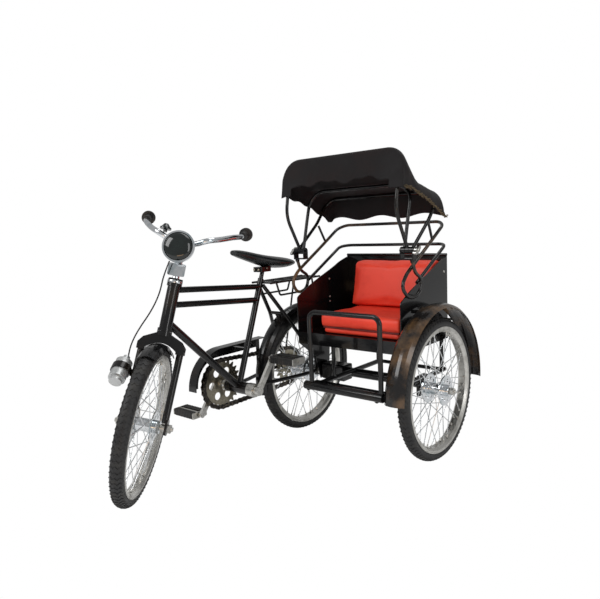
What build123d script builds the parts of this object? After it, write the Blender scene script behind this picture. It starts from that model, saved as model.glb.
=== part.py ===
from build123d import *
from math import asin, atan2, cos, degrees, hypot, pi, radians, sin, tan
import os

# A cycle rickshaw as a scale model: a bicycle with a passenger carriage and a third wheel
# on its left. Millimetres. Forward is -Y, left is +X, up is +Z, and the ground is Z = 0.
# Places are written as (x, y, z) in the bicycle's own measure: x = 0 is the bicycle's
# middle plane, and y = 0 is where the steering axis meets the ground.

# ---- where the measure sits in the part's frame ----
middle_from_bicycle = 110.6     # x of the middle of the whole model
middle_from_steering = 282.3    # y of the middle of the whole model

# ---- wheels ----
wheel_radius = 135.0
tread_half = 3.2                # half the width of the flat crown
tyre_half = 11.5
tyre_shoulder_drop = 3.4
tyre_shoulder_half = 8.6
tyre_waist_radius = wheel_radius - 10.8
tyre_seat_radius = wheel_radius - 15.4
tyre_seat_half = 10.5
rim_half = 10.4
rim_lip_radius = tyre_seat_radius - 0.1
rim_wall = 1.6
rim_side_radius = rim_lip_radius - 5.5
rim_bed_radius = rim_lip_radius - 10.0
rim_bed_half = 6.5
spokes_per_side = 20
spoke_diameter = 1.6
spoke_start_radius = 28.6
spoke_end_radius = rim_bed_radius - 0.3
spoke_start_stand = 1.5         # how far a spoke starts from its flange's middle
spoke_end_offset = 3.0
spoke_sweep = 41.0              # degrees between a spoke's two ends
flange_radius = 28.0
flange_thickness = 2.4
flange_offset = 17.0
flange_hole_ring = 19.0
flange_hole_radius = 3.0
flange_holes = 10
barrel_radius = 11.0
hub_half = 27.0
axle_radius = 3.5
axle_play = 0.4
nut_size = 12.5                 # across the flats
nut_length = 6.5
nut_stand = 3.0                 # thread that shows beyond a nut

# ---- steering ----
rake = 19.44
steer_angle = 39.9              # how far the model stands steered to its left
fork_offset = 10.0
head_bottom = 303.0             # along the steering axis, from the ground
head_top = 378.0
head_diameter = 22.0
steerer_diameter = 13.6
steerer_play = 0.3
race_diameter = 26.0
race_height = 5.0
race_gap = 0.4
blade_offset = 34.0
blade_diameter = 12.0
crown_bottom = 262.0
crown_top = 294.0
crown_half = 41.0
crown_depth = 16.0
tip_thickness = 4.0
stem_diameter = 12.0
stem_top = 462.0
bar_diameter = 10.0
grip_diameter = 15.0
disc_diameter = 26.0
disc_thickness = 5.0
lamp_height = 444.0
lamp_radius = 28.0
lamp_back = 9.0
lamp_front = 36.0
dynamo_diameter = 29.0
dynamo_offset = 57.0
front_guard_radius = wheel_radius + 3.6
guard_wall = 1.5
front_guard_half = 16.0

# ---- bicycle ----
bracket_y = 266.5
bracket_z = 140.7
bracket_diameter = 24.0
bracket_half = 30.0
down_tube_diameter = 14.0
top_tube_diameter = 11.0
seat_tube_diameter = 12.0
stay_diameter = 8.0
rear_axle_y = 472.0
left_dropout = 38.0
right_dropout = -60.0
dropout_thickness = 4.0
seat_tube_top = (0.0, 344.5, 349.0)
post_diameter = 8.6
post_play = 0.2
saddle_clamp_z = 366.0
chain_line = -50.0
chain_width = 8.0
chain_pitch = 12.7
ring_teeth = 24
sprocket_teeth = 20
chain_plate_half = 5.0
chain_waist_half = 3.9
chain_gap = 0.4                 # between the fixed chain and the wheels that it runs over
ring_thickness = 2.4
crank_length = 72.0
crank_rise = 53.0               # degrees of the left crank above the line to the rear
left_arm = 55.0
right_arm = -67.0
arm_thickness = 6.0
arm_width = 11.0
crank_axle_diameter = 9.0
pedal_length = 62.0
pedal_width = 36.0
pedal_height = 13.0
guard_band = 22.0
guard_radius = 75.0
guard_plate_x = -61.0
guard_flange = 20.0
guard_rear_y = 392.0
rear_guard_radius = wheel_radius + 15.0
rear_guard_half = 15.0
rack_half = 28.0
rack_bar = 4.5

# ---- carriage ----
carriage_middle = 176.5
panel_half = 119.5              # from the middle to a side panel's inner face
panel_wall = 1.6
panel_front = 390.0
panel_back = 575.0
seat_height = 237.0
panel_bottom = seat_height - 24.0
hanger_bottom = 123.0
beam_z = 142.0
beam_diameter = 19.0
beam_right = 64.0
beam_left = 290.0
foot_tube_y = 315.0
foot_tube_z = 154.0
foot_tube_diameter = 16.0
foot_tube_right = 133.0
foot_tube_left = 304.0
rail_post_left = 300.0
rail_post_right = 148.0
rail_top = 294.0
grab_diameter = 9.0
runner_diameter = 10.0
runner_right = 138.0
runner_left = 290.0
side_wheel_x = 324.6
side_guard_radius = wheel_radius + 29.0
side_guard_half = 19.5

# ---- rails and hood ----
rail_diameter = 6.5
rail_half = 127.0
pivot_y = 413.0
pivot_z = 401.0
bow_diameter = 6.5
bow_gap = 7.4                   # from one bow's leg to the next, across
front_bow_half = 125.0
eye_diameter = 13.0
eye_thickness = 6.7
bolt_diameter = 5.0
bolt_play = 0.2
cloth = 1.2
cloth_gap = 0.4
soft_gap = 0.3

# ---- small fittings ----
grip_gap = 0.2
bell_diameter = 20.0
wire_diameter = 2.6
front_guard_arc = 62.0
stay_bends = (40.0, 12.0)
stay_level = 137.0
post_depth = 30.0
saddle_clamp_y = 350.0
clamp_height = 10.0
left_cup_end = 47.0
right_cup_width = 6.0
boss_diameter = 17.0
pedal_gap = 3.0
pin_diameter = 5.0
ring_hole_ring = 27.0
ring_hole_radius = 8.0
ring_holes = 6
sprocket_hole_ring = 23.0
sprocket_hole_radius = 5.0
sprocket_holes = 8
rear_guard_tail = -10.0
rear_guard_arc = 200.0
rack_z = 340.0
rack_low_z = 313.0
rack_rear = 500.0
rack_bars = 6
pedal_plate = 2.0
pin_play = 0.3
pedal_block = 10.0
pedal_block_stand = 11.5
runner_z = 148.0
pan_under = seat_height - 1.6
post_leg_diameter = 8.0
end_plate_wall = 5.0
clamp_right = 64.0
clamp_length = 53.0
board_depth = 24.0
board_wall = 1.6
board_ribs = 6
front_rail_wall = 2.0
panel_shoulder = 310.0
panel_top = 380.0
panel_curve = (
    (panel_front, panel_shoulder - 6.0),
    (panel_front + 6.0, panel_shoulder + 1.0),
    (469.0, 343.0),
    (523.0, 363.0),
    (panel_back, panel_top),
)
panel_curve_ends = ((0.1, 1.0), (1.0, 0.25))
hanger_half = 15.0
cushion_left = 294.0
cushion_right = 108.0
cushion_rear = 566.0
cushion_top = seat_height + 40.0
back_low_y = 506.0
back_high_y = 536.0
back_top = seat_height + 137.0
side_guard_tail = -3.0
side_guard_arc = 180.0
side_bracket_angles = (100.0, 75.0, 50.0)
yoke_wall = 2.5
yoke_floor = 384.0
wing_boss = 7.0


# ---- places, planes and bars ----
def spot(x, y, z):
    """A place given in the bicycle's measure."""
    return Vector(x - middle_from_bicycle, y - middle_from_steering, z)


def side_plane(x):
    """An upright plane along the model: its own axes are back and up, and it faces left."""
    return Plane(origin=spot(x, 0, 0), x_dir=(0, 1, 0), z_dir=(1, 0, 0))


def cross_plane(y):
    """An upright plane across the model: its own axes are left and up, and it faces forward."""
    return Plane(origin=spot(0, y, 0), x_dir=(1, 0, 0), z_dir=(0, -1, 0))


def level_plane(z):
    """A level plane: its own axes are left and back, and it faces up."""
    return Plane(origin=spot(0, 0, z))


def bar(start, end, diameter, mode=Mode.ADD):
    """A straight round bar between two places."""
    run = Vector(end) - Vector(start)
    with BuildSketch(Plane(origin=start, z_dir=run)) as section:
        Circle(diameter / 2)
    extrude(section.sketch, amount=run.length, mode=mode)


def easy_radii(points):
    """The largest even bends of a route: 0.45 of the shorter run at each corner."""
    radii = []
    for before, corner, after in zip(points, points[1:], points[2:]):
        run_in = Vector(corner) - Vector(before)
        run_out = Vector(after) - Vector(corner)
        half_turn = radians(run_in.get_angle(run_out)) / 2
        radii.append(0.45 * min(run_in.length, run_out.length) / tan(half_turn))
    return radii


def bent_bar(points, diameter, radii=None, mode=Mode.ADD):
    """A round bar along straight runs joined by bends."""
    with BuildLine() as route:
        FilletPolyline(*points, radius=radii or easy_radii(points))
    with BuildSketch(Plane(origin=route.line @ 0, z_dir=route.line % 0)) as section:
        Circle(diameter / 2)
    sweep(section.sketch, path=route.line, mode=mode)


def nut_on(place, direction, size=nut_size, length=nut_length):
    """A six-sided nut that starts at a place."""
    with BuildSketch(Plane(origin=place, z_dir=direction)) as section:
        RegularPolygon(size / 2, 6, major_radius=False)
    extrude(section.sketch, amount=length)


# ---- the steering's own frame: left, back and up along its axis ----
rake_frame = Plane(
    origin=spot(0, 0, 0), x_dir=(1, 0, 0), z_dir=(0, sin(radians(rake)), cos(radians(rake)))
)
steer_frame = Plane(
    origin=rake_frame.origin,
    x_dir=rake_frame.x_dir.rotate(Axis((0, 0, 0), rake_frame.z_dir), steer_angle),
    z_dir=rake_frame.z_dir,
)
steer_forward = -steer_frame.y_dir
lean = abs(asin(steer_frame.x_dir.Z))
front_axle_z = wheel_radius * cos(lean) + tread_half * sin(lean)
front_axle_along = (front_axle_z - fork_offset * steer_forward.Z) / steer_frame.z_dir.Z


def steered(left, forward, along):
    """A place on the steering: to its left, forward of its axis and up along it."""
    return steer_frame.from_local_coords(Vector(left, -forward, along))


def steer_level(along):
    """A plane square to the steering axis."""
    return Plane(origin=steered(0, 0, along), x_dir=steer_frame.x_dir, z_dir=steer_frame.z_dir)


def steer_cross(forward):
    """A plane across the steering, facing forward: its own axes are left and along."""
    return Plane(origin=steered(0, forward, 0), x_dir=steer_frame.x_dir, z_dir=steer_forward)


def steer_side(left):
    """A plane along the steering, facing left: its own axes are back and along."""
    return Plane(
        origin=steered(left, 0, 0), x_dir=steer_frame.y_dir, z_dir=steer_frame.x_dir
    )


def raked(left, forward, along):
    """The same place with the steering straight, which is how the head tube stands."""
    return rake_frame.from_local_coords(Vector(left, -forward, along))


# ---- the wheels' frames ----
front_axle = steered(0, fork_offset, front_axle_along)
rear_axle = spot(0, rear_axle_y, wheel_radius)
side_axle = spot(side_wheel_x, rear_axle_y, wheel_radius)
leftward = Vector(1, 0, 0)
hub_hole_radius = axle_radius + axle_play
sprocket_face = chain_line + ring_thickness / 2

# each wheel: its name, centre, axle direction and the right end of its hub
wheels = (
    ("front", front_axle, steer_frame.x_dir, -hub_half),
    ("rear", rear_axle, leftward, sprocket_face),
    ("side", side_axle, leftward, -hub_half),
)


def wheel_plane(centre, axle_direction):
    """A wheel's own plane, facing along its axle: its own axes are back and up."""
    backward = Vector(-axle_direction.Y, axle_direction.X, 0)
    return Plane(origin=centre, x_dir=backward, z_dir=axle_direction)


def axle_plane(centre, axle_direction, angle=0.0):
    """A plane through a wheel's axle. Its own axes are along the axle and outward, and
    outward turns from the rear through the top as the angle grows."""
    flat = wheel_plane(centre, axle_direction)
    turned = radians(angle)
    onward = flat.y_dir * cos(turned) - flat.x_dir * sin(turned)
    return Plane(origin=centre, x_dir=axle_direction, z_dir=onward)


os.makedirs("parts", exist_ok=True)


# ================= wheels =================
for place, centre, axle_direction, hub_right in wheels:
    plane = axle_plane(centre, axle_direction)

    with BuildPart() as tyre:
        with BuildSketch(plane) as section:
            Polygon(
                (tyre_seat_half, tyre_seat_radius),
                (tyre_half, tyre_waist_radius),
                (tyre_shoulder_half, wheel_radius - tyre_shoulder_drop),
                (tread_half, wheel_radius),
                (-tread_half, wheel_radius),
                (-tyre_shoulder_half, wheel_radius - tyre_shoulder_drop),
                (-tyre_half, tyre_waist_radius),
                (-tyre_seat_half, tyre_seat_radius),
            )
        revolve(axis=Axis(centre, axle_direction))
    tyre.part.label = f"{place}_tyre"
    export_step(tyre.part, f"parts/{place}_tyre.step")

    with BuildPart() as rim:
        with BuildSketch(plane) as section:
            with BuildLine():
                Polyline(
                    (0, rim_bed_radius),
                    (rim_bed_half, rim_bed_radius),
                    (rim_half, rim_side_radius),
                    (rim_half, rim_lip_radius),
                    (rim_half - rim_wall, rim_lip_radius),
                    (rim_half - rim_wall, rim_side_radius + rim_wall / 2),
                    (rim_bed_half - rim_wall / 2, rim_bed_radius + rim_wall),
                    (0, rim_bed_radius + rim_wall),
                )
                mirror(about=Plane.YZ)
            make_face()
        revolve(axis=Axis(centre, axle_direction))
    rim.part.label = f"{place}_rim"
    export_step(rim.part, f"parts/{place}_rim.step")

    flat = wheel_plane(centre, axle_direction)
    with BuildPart() as spokes:
        for side in (-1, 1):
            for number in range(spokes_per_side):
                lean_way = 1 if number % 2 else -1
                start_angle = radians((number + side / 4) * 360 / spokes_per_side)
                end_angle = start_angle + lean_way * radians(spoke_sweep)
                start = flat.from_local_coords(
                    Vector(
                        spoke_start_radius * cos(start_angle),
                        spoke_start_radius * sin(start_angle),
                        side * (flange_offset + lean_way * spoke_start_stand),
                    )
                )
                end = flat.from_local_coords(
                    Vector(
                        spoke_end_radius * cos(end_angle),
                        spoke_end_radius * sin(end_angle),
                        side * spoke_end_offset,
                    )
                )
                bar(start, end, spoke_diameter)
    spokes.part.label = f"{place}_spokes"
    export_step(spokes.part, f"parts/{place}_spokes.step")

    with BuildPart() as hub:
        with BuildSketch(plane) as section:
            with Locations(((hub_half + hub_right) / 2, (barrel_radius + hub_hole_radius) / 2)):
                Rectangle(hub_half - hub_right, barrel_radius - hub_hole_radius)
            with Locations(
                (-flange_offset, (flange_radius + hub_hole_radius) / 2),
                (flange_offset, (flange_radius + hub_hole_radius) / 2),
            ):
                Rectangle(flange_thickness, flange_radius - hub_hole_radius)
        revolve(axis=Axis(centre, axle_direction))
        with BuildSketch(flat) as holes:
            with PolarLocations(flange_hole_ring, flange_holes):
                Circle(flange_hole_radius)
        extrude(amount=flange_offset + flange_thickness, both=True, mode=Mode.SUBTRACT)
    hub.part.label = f"{place}_hub"
    export_step(hub.part, f"parts/{place}_hub.step")


# ================= steering =================
head_cup_bottom = head_bottom - race_height
head_cup_top = head_top + race_height
steerer_bore = steerer_diameter + 2 * steerer_play
nut_plate = head_cup_top + race_gap
nut_plate_top = nut_plate + race_height + 3.0
tip_offset = blade_offset + blade_diameter / 2 - tip_thickness

with BuildPart() as fork:
    with BuildSketch(steer_cross(-crown_depth / 2)) as crown:
        with BuildLine():
            Polyline(
                (0, crown_top),
                (12, crown_top),
                (crown_half - 8, crown_top - 10),
                (crown_half, crown_top - 20),
                (crown_half, crown_bottom),
                (blade_offset - 7, crown_bottom),
                (blade_offset - 7, crown_bottom + 4),
            )
            ThreePointArc(
                (blade_offset - 7, crown_bottom + 4), (15, crown_top - 20.5), (0, crown_top - 17)
            )
            mirror(about=Plane.YZ)
        make_face()
    extrude(amount=crown_depth)
    bar(steered(0, 0, crown_top - 4), steered(0, 0, nut_plate_top), steerer_diameter)
    bar(steered(0, 0, crown_top - 4), steered(0, 0, head_cup_bottom - race_gap), race_diameter)
    nut_on(steered(0, 0, nut_plate), steer_frame.z_dir, race_diameter - 2, race_height + 3.0)
    for side in (-1, 1):
        blade_top = steered(side * blade_offset, 0, crown_bottom + 6)
        blade_end = steered(side * blade_offset, fork_offset, front_axle_along + 8)
        bar(blade_top, blade_end, blade_diameter)
        with BuildSketch(steer_side(side * tip_offset)) as tip:
            with Locations((-fork_offset, front_axle_along + 2)):
                SlotOverall(28, 16, rotation=90)
            with Locations((-fork_offset, front_axle_along)):
                Circle(axle_radius + 0.1, mode=Mode.SUBTRACT)
        extrude(amount=side * tip_thickness)
fork.part.label = "fork"
export_step(fork.part, "parts/fork.step")

with BuildPart() as front_axle_rod:
    axle_end = tip_offset + tip_thickness + nut_length + nut_stand
    left_tip = front_axle + steer_frame.x_dir * (tip_offset + tip_thickness)
    right_tip = front_axle - steer_frame.x_dir * (tip_offset + tip_thickness)
    bar(
        front_axle - steer_frame.x_dir * axle_end,
        front_axle + steer_frame.x_dir * axle_end,
        2 * axle_radius,
    )
    nut_on(left_tip, steer_frame.x_dir)
    nut_on(right_tip, -steer_frame.x_dir)
    for side in (-1, 1):
        cone_start = front_axle + steer_frame.x_dir * side * (hub_half + 1)
        cone_end = front_axle + steer_frame.x_dir * side * tip_offset
        bar(cone_start, cone_end, 2 * axle_radius + 5)
front_axle_rod.part.label = "front_axle"
export_step(front_axle_rod.part, "parts/front_axle.step")

# the handlebar's left half: left, forward and along, from the middle to the hand
bar_route = (
    (0.0, 0.0, 455.0),
    (22.0, 1.0, 458.0),
    (44.0, 10.0, 467.0),
    (62.0, -8.0, 476.0),
    (80.0, -30.0, 489.0),
    (91.0, -60.0, 499.5),
    (92.25, -67.5, 502.875),
)
grip_end = (96.0, -90.0, 513.0)

with BuildPart() as handlebar:
    left_half = [steered(*p) for p in bar_route[1:]]
    right_half = [steered(-p[0], p[1], p[2]) for p in bar_route[1:]]
    bent_bar(right_half[::-1] + [steered(*bar_route[0])] + left_half, bar_diameter)
    bar(steered(0, 0, nut_plate_top), steered(0, 0, stem_top), stem_diameter)
handlebar.part.label = "handlebar"
export_step(handlebar.part, "parts/handlebar.step")

with BuildPart() as grips:
    for side in (-1, 1):
        outer = steered(side * grip_end[0], *grip_end[1:])
        last_bend = steered(side * bar_route[-1][0], *bar_route[-1][1:])
        along_grip = (outer - last_bend).normalized()
        start = last_bend + along_grip * grip_gap
        bar(start, outer, grip_diameter)
        bar(outer - along_grip * disc_thickness, outer, disc_diameter)
grips.part.label = "grips"
export_step(grips.part, "parts/grips.step")

with BuildPart() as bell:
    clamp_foot = steered(-34, 6.5, 469.8)
    bell_base = steered(-34, 6.5, 475.0)
    bar(clamp_foot, bell_base, 7.0)
    bar(bell_base, bell_base + steer_frame.z_dir * 3, bell_diameter)
    with BuildSketch(steer_level(478.0)) as dome_foot:
        with Locations((-34, -6.5)):
            Circle(bell_diameter / 2 - 1)
    extrude(amount=7, taper=38)
bell.part.label = "bell"
export_step(bell.part, "parts/bell.step")

with BuildPart() as lamp:
    with BuildSketch(steer_side(0)) as shell:
        with BuildLine():
            Polyline(
                (-lamp_back, lamp_height),
                (-lamp_back, lamp_height + 9),
                (-lamp_back - 4, lamp_height + 19),
                (-lamp_back - 10, lamp_height + lamp_radius - 2),
                (-lamp_front + 9, lamp_height + lamp_radius),
                (-lamp_front + 4, lamp_height + lamp_radius),
                (-lamp_front + 4, lamp_height + lamp_radius - 3),
                (-lamp_front + 9, lamp_height + lamp_radius - 3),
                (-lamp_back - 11.5, lamp_height + lamp_radius - 4.5),
                (-lamp_back - 6, lamp_height + 17),
                (-lamp_back - 2, lamp_height + 8),
                (-lamp_back - 2, lamp_height),
                close=True,
            )
        make_face()
    revolve(axis=Axis(steered(0, 0, lamp_height), steer_forward))
lamp.part.label = "lamp"
export_step(lamp.part, "parts/lamp.step")

with BuildPart() as lamp_glass:
    with BuildSketch(steer_cross(lamp_front - 8)) as lens:
        with Locations((0, lamp_height)):
            Circle(lamp_radius - 3.1)
    extrude(amount=4)
    with BuildSketch(steer_cross(lamp_front - 4)) as dome:
        with Locations((0, lamp_height)):
            Circle(lamp_radius - 4)
    extrude(amount=7, taper=40)
lamp_glass.part.label = "lamp_glass"
export_step(lamp_glass.part, "parts/lamp_glass.step")

with BuildPart() as lamp_bracket:
    stem_face = stem_diameter / 2
    with BuildSketch(steer_cross(stem_face + 0.1)) as plate:
        with Locations((0, lamp_height - 37)):
            RectangleRounded(30, 22, 3)
        with Locations((0, lamp_height - 16)):
            RectangleRounded(12, 32, 3)
    extrude(amount=lamp_back - stem_face - 0.2)
    with BuildSketch(steer_level(lamp_height - 45)) as clamp:
        with Locations((0, 0)):
            Rectangle(22, 21)
        Circle(stem_face + 0.1, mode=Mode.SUBTRACT)
        with Locations((0, -stem_face - 9)):
            Rectangle(30, 16, mode=Mode.SUBTRACT)
    extrude(amount=16)
lamp_bracket.part.label = "lamp_bracket"
export_step(lamp_bracket.part, "parts/lamp_bracket.step")

# the lamp's wire, from the dynamo's terminal up past the crown to the lamp
wire_points = (
    (-55.0, -12.0, 236.0),
    (-59.0, -18.0, 253.0),
    (-53.0, -9.0, 277.0),
    (-42.0, 2.0, 300.0),
    (-31.0, 7.0, 322.0),
    (-23.0, 11.0, 344.0),
    (-18.0, 16.0, lamp_height - 78.0),
    (-17.0, 21.0, lamp_height - 53.0),
    (-12.0, 21.0, lamp_height - 26.2),
)
wire_start = steered(*wire_points[0])
wire_heading = (steered(*wire_points[1]) - wire_start).normalized()

# the dynamo stands beside the right blade, its cap up and back, its foot forward
dynamo_cap = Vector(-dynamo_offset, -7.0, 243.0)
dynamo_foot = Vector(-dynamo_offset, 31.0, 200.0)
with BuildPart() as dynamo:
    cap = steered(*dynamo_cap)
    foot = steered(*dynamo_foot)
    down = (foot - cap).normalized()
    body_start = cap + down * 12
    body_end = foot - down * 7
    bar(body_start, body_end, dynamo_diameter)
    bar(cap, body_start, dynamo_diameter - 17)
    bar(body_end, foot, dynamo_diameter - 7)
    bar(wire_start - wire_heading * 12, wire_start - wire_heading * 0.2, 2 * wire_diameter)
dynamo.part.label = "dynamo"
export_step(dynamo.part, "parts/dynamo.step")

with BuildPart() as dynamo_bracket:
    middle = (body_start + body_end) * 0.5
    ring_plane = Plane(origin=middle - down * 8, x_dir=steer_frame.x_dir, z_dir=down)
    ring_outer = dynamo_diameter / 2 + 2
    with BuildSketch(ring_plane) as strap:
        Circle(ring_outer)
        Circle(dynamo_diameter / 2 + 0.1, mode=Mode.SUBTRACT)
    extrude(amount=12)
    blade_at = steered(-blade_offset, 5.5, 213)
    with BuildSketch(Plane(origin=blade_at, z_dir=steer_frame.z_dir)) as collar:
        Circle(blade_diameter / 2 + 2.5)
    extrude(amount=12)
    bar(steered(-blade_offset, 5.5, 219), steered(-dynamo_offset + 12, 9, 222), 7)
    bar(
        steered(-blade_offset, 0, crown_bottom + 6),
        steered(-blade_offset, fork_offset, front_axle_along + 8),
        blade_diameter + 0.2,
        mode=Mode.SUBTRACT,
    )
    bar(body_start, body_end, dynamo_diameter + 0.2, mode=Mode.SUBTRACT)
dynamo_bracket.part.label = "dynamo_bracket"
export_step(dynamo_bracket.part, "parts/dynamo_bracket.step")


def guard_profile(radius, half):
    """Half-widths and radii of a mudguard's crowned section, as a closed outline."""
    outer = (
        (0.0, radius),
        (0.3 * half, radius - 0.6),
        (0.7 * half, radius - 2.6),
        (half, radius - 8.0),
    )
    inner = (
        (half - guard_wall, radius - 8.0),
        (0.7 * half - 0.6, radius - 2.6 - guard_wall),
        (0.3 * half, radius - 0.6 - guard_wall),
        (0.0, radius - guard_wall),
    )
    return outer + inner


def guard(centre, axle_direction, start_angle, arc, radius, half):
    """Part of a mudguard's ring, from one angle round through an arc."""
    with BuildSketch(axle_plane(centre, axle_direction, start_angle)) as section:
        with BuildLine():
            Polyline(*guard_profile(radius, half))
            mirror(about=Plane.YZ)
        make_face()
    revolve(section.sketch, axis=Axis(centre, axle_direction), revolution_arc=arc)


front_wheel_flat = wheel_plane(front_axle, steer_frame.x_dir)
crown_angle = degrees(
    atan2(
        steer_frame.z_dir.dot(front_wheel_flat.y_dir),
        steer_frame.z_dir.dot(front_wheel_flat.x_dir),
    )
)
with BuildPart() as front_mudguard:
    guard(
        front_axle,
        steer_frame.x_dir,
        crown_angle - front_guard_arc / 2 + 4,
        front_guard_arc,
        front_guard_radius,
        front_guard_half,
    )
front_mudguard.part.label = "front_mudguard"
export_step(front_mudguard.part, "parts/front_mudguard.step")

with BuildPart() as lamp_wire:
    bent_bar([steered(*p) for p in wire_points], wire_diameter)
lamp_wire.part.label = "lamp_wire"
export_step(lamp_wire.part, "parts/lamp_wire.step")
print("wire radii", [round(r, 1) for r in easy_radii([steered(*p) for p in wire_points])])


# ================= bicycle =================
bracket_centre = spot(0, bracket_y, bracket_z)
seat_tube_end = spot(*seat_tube_top)
dropout_z = wheel_radius

stay_foot_y = rear_axle_y - axle_radius - 5
seat_stay_foot_z = wheel_radius + 15
left_seat_stay = (
    spot(6, 343, 336),
    spot(20, 388, 272),
    spot(left_dropout, 461, 170),
    spot(left_dropout, rear_axle_y - 1, seat_stay_foot_z),
)
right_seat_stay = (
    spot(-6, 343, 336),
    spot(-20, 388, 272),
    spot(right_dropout, 446, 205),
    spot(right_dropout, rear_axle_y - 1, seat_stay_foot_z),
)
left_chain_stay = (
    spot(18, bracket_y, bracket_z),
    spot(22, 330, 138),
    spot(left_dropout, 428, 136),
    spot(left_dropout, stay_foot_y, wheel_radius),
)
right_chain_stay = (
    spot(-18, bracket_y, bracket_z),
    spot(-34, 326, 138),
    spot(right_dropout, 414, 136),
    spot(right_dropout, stay_foot_y, wheel_radius),
)

with BuildPart() as bike_frame:
    bar(raked(0, 0, head_bottom), raked(0, 0, head_top), head_diameter)
    bar(raked(0, 0, head_cup_bottom), raked(0, 0, head_bottom), race_diameter)
    bar(raked(0, 0, head_top), raked(0, 0, head_cup_top), race_diameter)
    bar(spot(0, 126, 350), spot(0, 341, 333), top_tube_diameter)
    bar(spot(0, 113, 325), spot(0, 331, 307), top_tube_diameter)
    bar(spot(0, 107, 295), bracket_centre, down_tube_diameter)
    bar(bracket_centre, seat_tube_end, seat_tube_diameter)
    bar(
        spot(-bracket_half, bracket_y, bracket_z),
        spot(bracket_half, bracket_y, bracket_z),
        bracket_diameter,
    )
    bar(
        raked(0, 0, head_cup_bottom - 1),
        raked(0, 0, head_cup_top + 1),
        steerer_bore,
        mode=Mode.SUBTRACT,
    )
    for stay in (left_seat_stay, right_seat_stay, left_chain_stay, right_chain_stay):
        bent_bar(stay, stay_diameter, stay_bends)
    for x in (left_dropout, right_dropout):
        with BuildSketch(side_plane(x - dropout_thickness / 2)) as plate:
            with Locations((rear_axle_y + 2, dropout_z + 8)):
                RectangleRounded(26, 36, 6)
        extrude(plate.sketch, amount=dropout_thickness)
    # bores for the crank's axle, the saddle's post and the rear axle
    bar(
        spot(-bracket_half - 1, bracket_y, bracket_z),
        spot(bracket_half + 1, bracket_y, bracket_z),
        crank_axle_diameter + 2 * axle_play,
        mode=Mode.SUBTRACT,
    )
    post_direction = (seat_tube_end - bracket_centre).normalized()
    post_foot = seat_tube_end - post_direction * post_depth
    bar(
        post_foot,
        seat_tube_end + post_direction * 4,
        post_diameter + 2 * post_play,
        mode=Mode.SUBTRACT,
    )
    bar(
        spot(right_dropout - 10, rear_axle_y, wheel_radius),
        spot(left_dropout + 10, rear_axle_y, wheel_radius),
        2 * axle_radius + 0.2,
        mode=Mode.SUBTRACT,
    )
bike_frame.part.label = "bike_frame"
export_step(bike_frame.part, "parts/bike_frame.step")

with BuildPart() as seat_post:
    post_lean = post_direction.Y / post_direction.Z
    post_rise = saddle_clamp_z - seat_tube_end.Z
    post_top = seat_tube_end + Vector(0, post_lean * post_rise, post_rise)
    bar(post_foot, post_top, post_diameter)
    with BuildSketch(level_plane(saddle_clamp_z - 3)) as clamp:
        with Locations((0, saddle_clamp_y)):
            RectangleRounded(24, 30, 3)
    extrude(amount=clamp_height)
seat_post.part.label = "seat_post"
export_step(seat_post.part, "parts/seat_post.step")

# the saddle's sections: place back from the steering, half width, height, half depth
saddle_sections = (
    (270.0, 7.0, 406.0, 5.0),
    (284.0, 10.0, 403.0, 7.5),
    (322.0, 14.0, 393.0, 10.5),
    (366.0, 30.0, 382.5, 12.0),
    (402.0, 35.0, 378.0, 11.0),
    (420.0, 29.0, 377.0, 8.0),
)
with BuildPart() as saddle:
    for back, half_width, height, half_depth in saddle_sections:
        with BuildSketch(cross_plane(back)) as section:
            with Locations((0, height)):
                Ellipse(half_width, half_depth)
    loft()
    with BuildSketch(level_plane(saddle_clamp_z - 20)) as pocket:
        with Locations((0, saddle_clamp_y)):
            Rectangle(27, 33)
    extrude(amount=20 - 3 + clamp_height + 0.2, mode=Mode.SUBTRACT)
saddle.part.label = "saddle"
export_step(saddle.part, "parts/saddle.step")

cup_half = bracket_half + 0.1
with BuildPart() as bracket_cups:
    for start, end in ((cup_half, left_cup_end), (-cup_half, -cup_half - right_cup_width)):
        bar(
            spot(start, bracket_y, bracket_z),
            spot(end, bracket_y, bracket_z),
            bracket_diameter + 2,
        )
    bar(
        spot(-60, bracket_y, bracket_z),
        spot(60, bracket_y, bracket_z),
        crank_axle_diameter + 2 * axle_play,
        mode=Mode.SUBTRACT,
    )
bracket_cups.part.label = "bracket_cups"
export_step(bracket_cups.part, "parts/bracket_cups.step")

left_arm_inner = left_arm - arm_thickness / 2
right_arm_inner = right_arm + arm_thickness / 2
right_arm_outer = right_arm - arm_thickness / 2
left_arm_outer = left_arm + arm_thickness / 2
crank_back = crank_length * cos(radians(crank_rise))
crank_up = crank_length * sin(radians(crank_rise))

with BuildPart() as crankset:
    bar(
        spot(right_arm_outer, bracket_y, bracket_z),
        spot(left_arm_outer, bracket_y, bracket_z),
        crank_axle_diameter,
    )
    bar(
        spot(right_arm_outer - 1, bracket_y, bracket_z),
        spot(chain_line + ring_thickness / 2 + 4, bracket_y, bracket_z),
        boss_diameter,
    )
    bar(
        spot(left_cup_end + 0.6, bracket_y, bracket_z),
        spot(left_arm_outer + 1, bracket_y, bracket_z),
        boss_diameter,
    )
    # an arm each side: the plane where it starts, which way it points, and its pedal's pin
    for start, way, pin_end in (
        (left_arm_inner, 1, left_arm_outer + pedal_gap + pedal_length + 1),
        (right_arm_outer, -1, right_arm_outer - pedal_gap - pedal_length - 1),
    ):
        pin_y = bracket_y + way * crank_back
        pin_z = bracket_z + way * crank_up
        with BuildSketch(side_plane(start)) as arm:
            with Locations((bracket_y + way * crank_back / 2, bracket_z + way * crank_up / 2)):
                SlotCenterToCenter(crank_length, arm_width, rotation=crank_rise)
        extrude(arm.sketch, amount=arm_thickness)
        bar(spot(start + arm_thickness / 2, pin_y, pin_z), spot(pin_end, pin_y, pin_z), pin_diameter)
crankset.part.label = "crankset"
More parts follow.
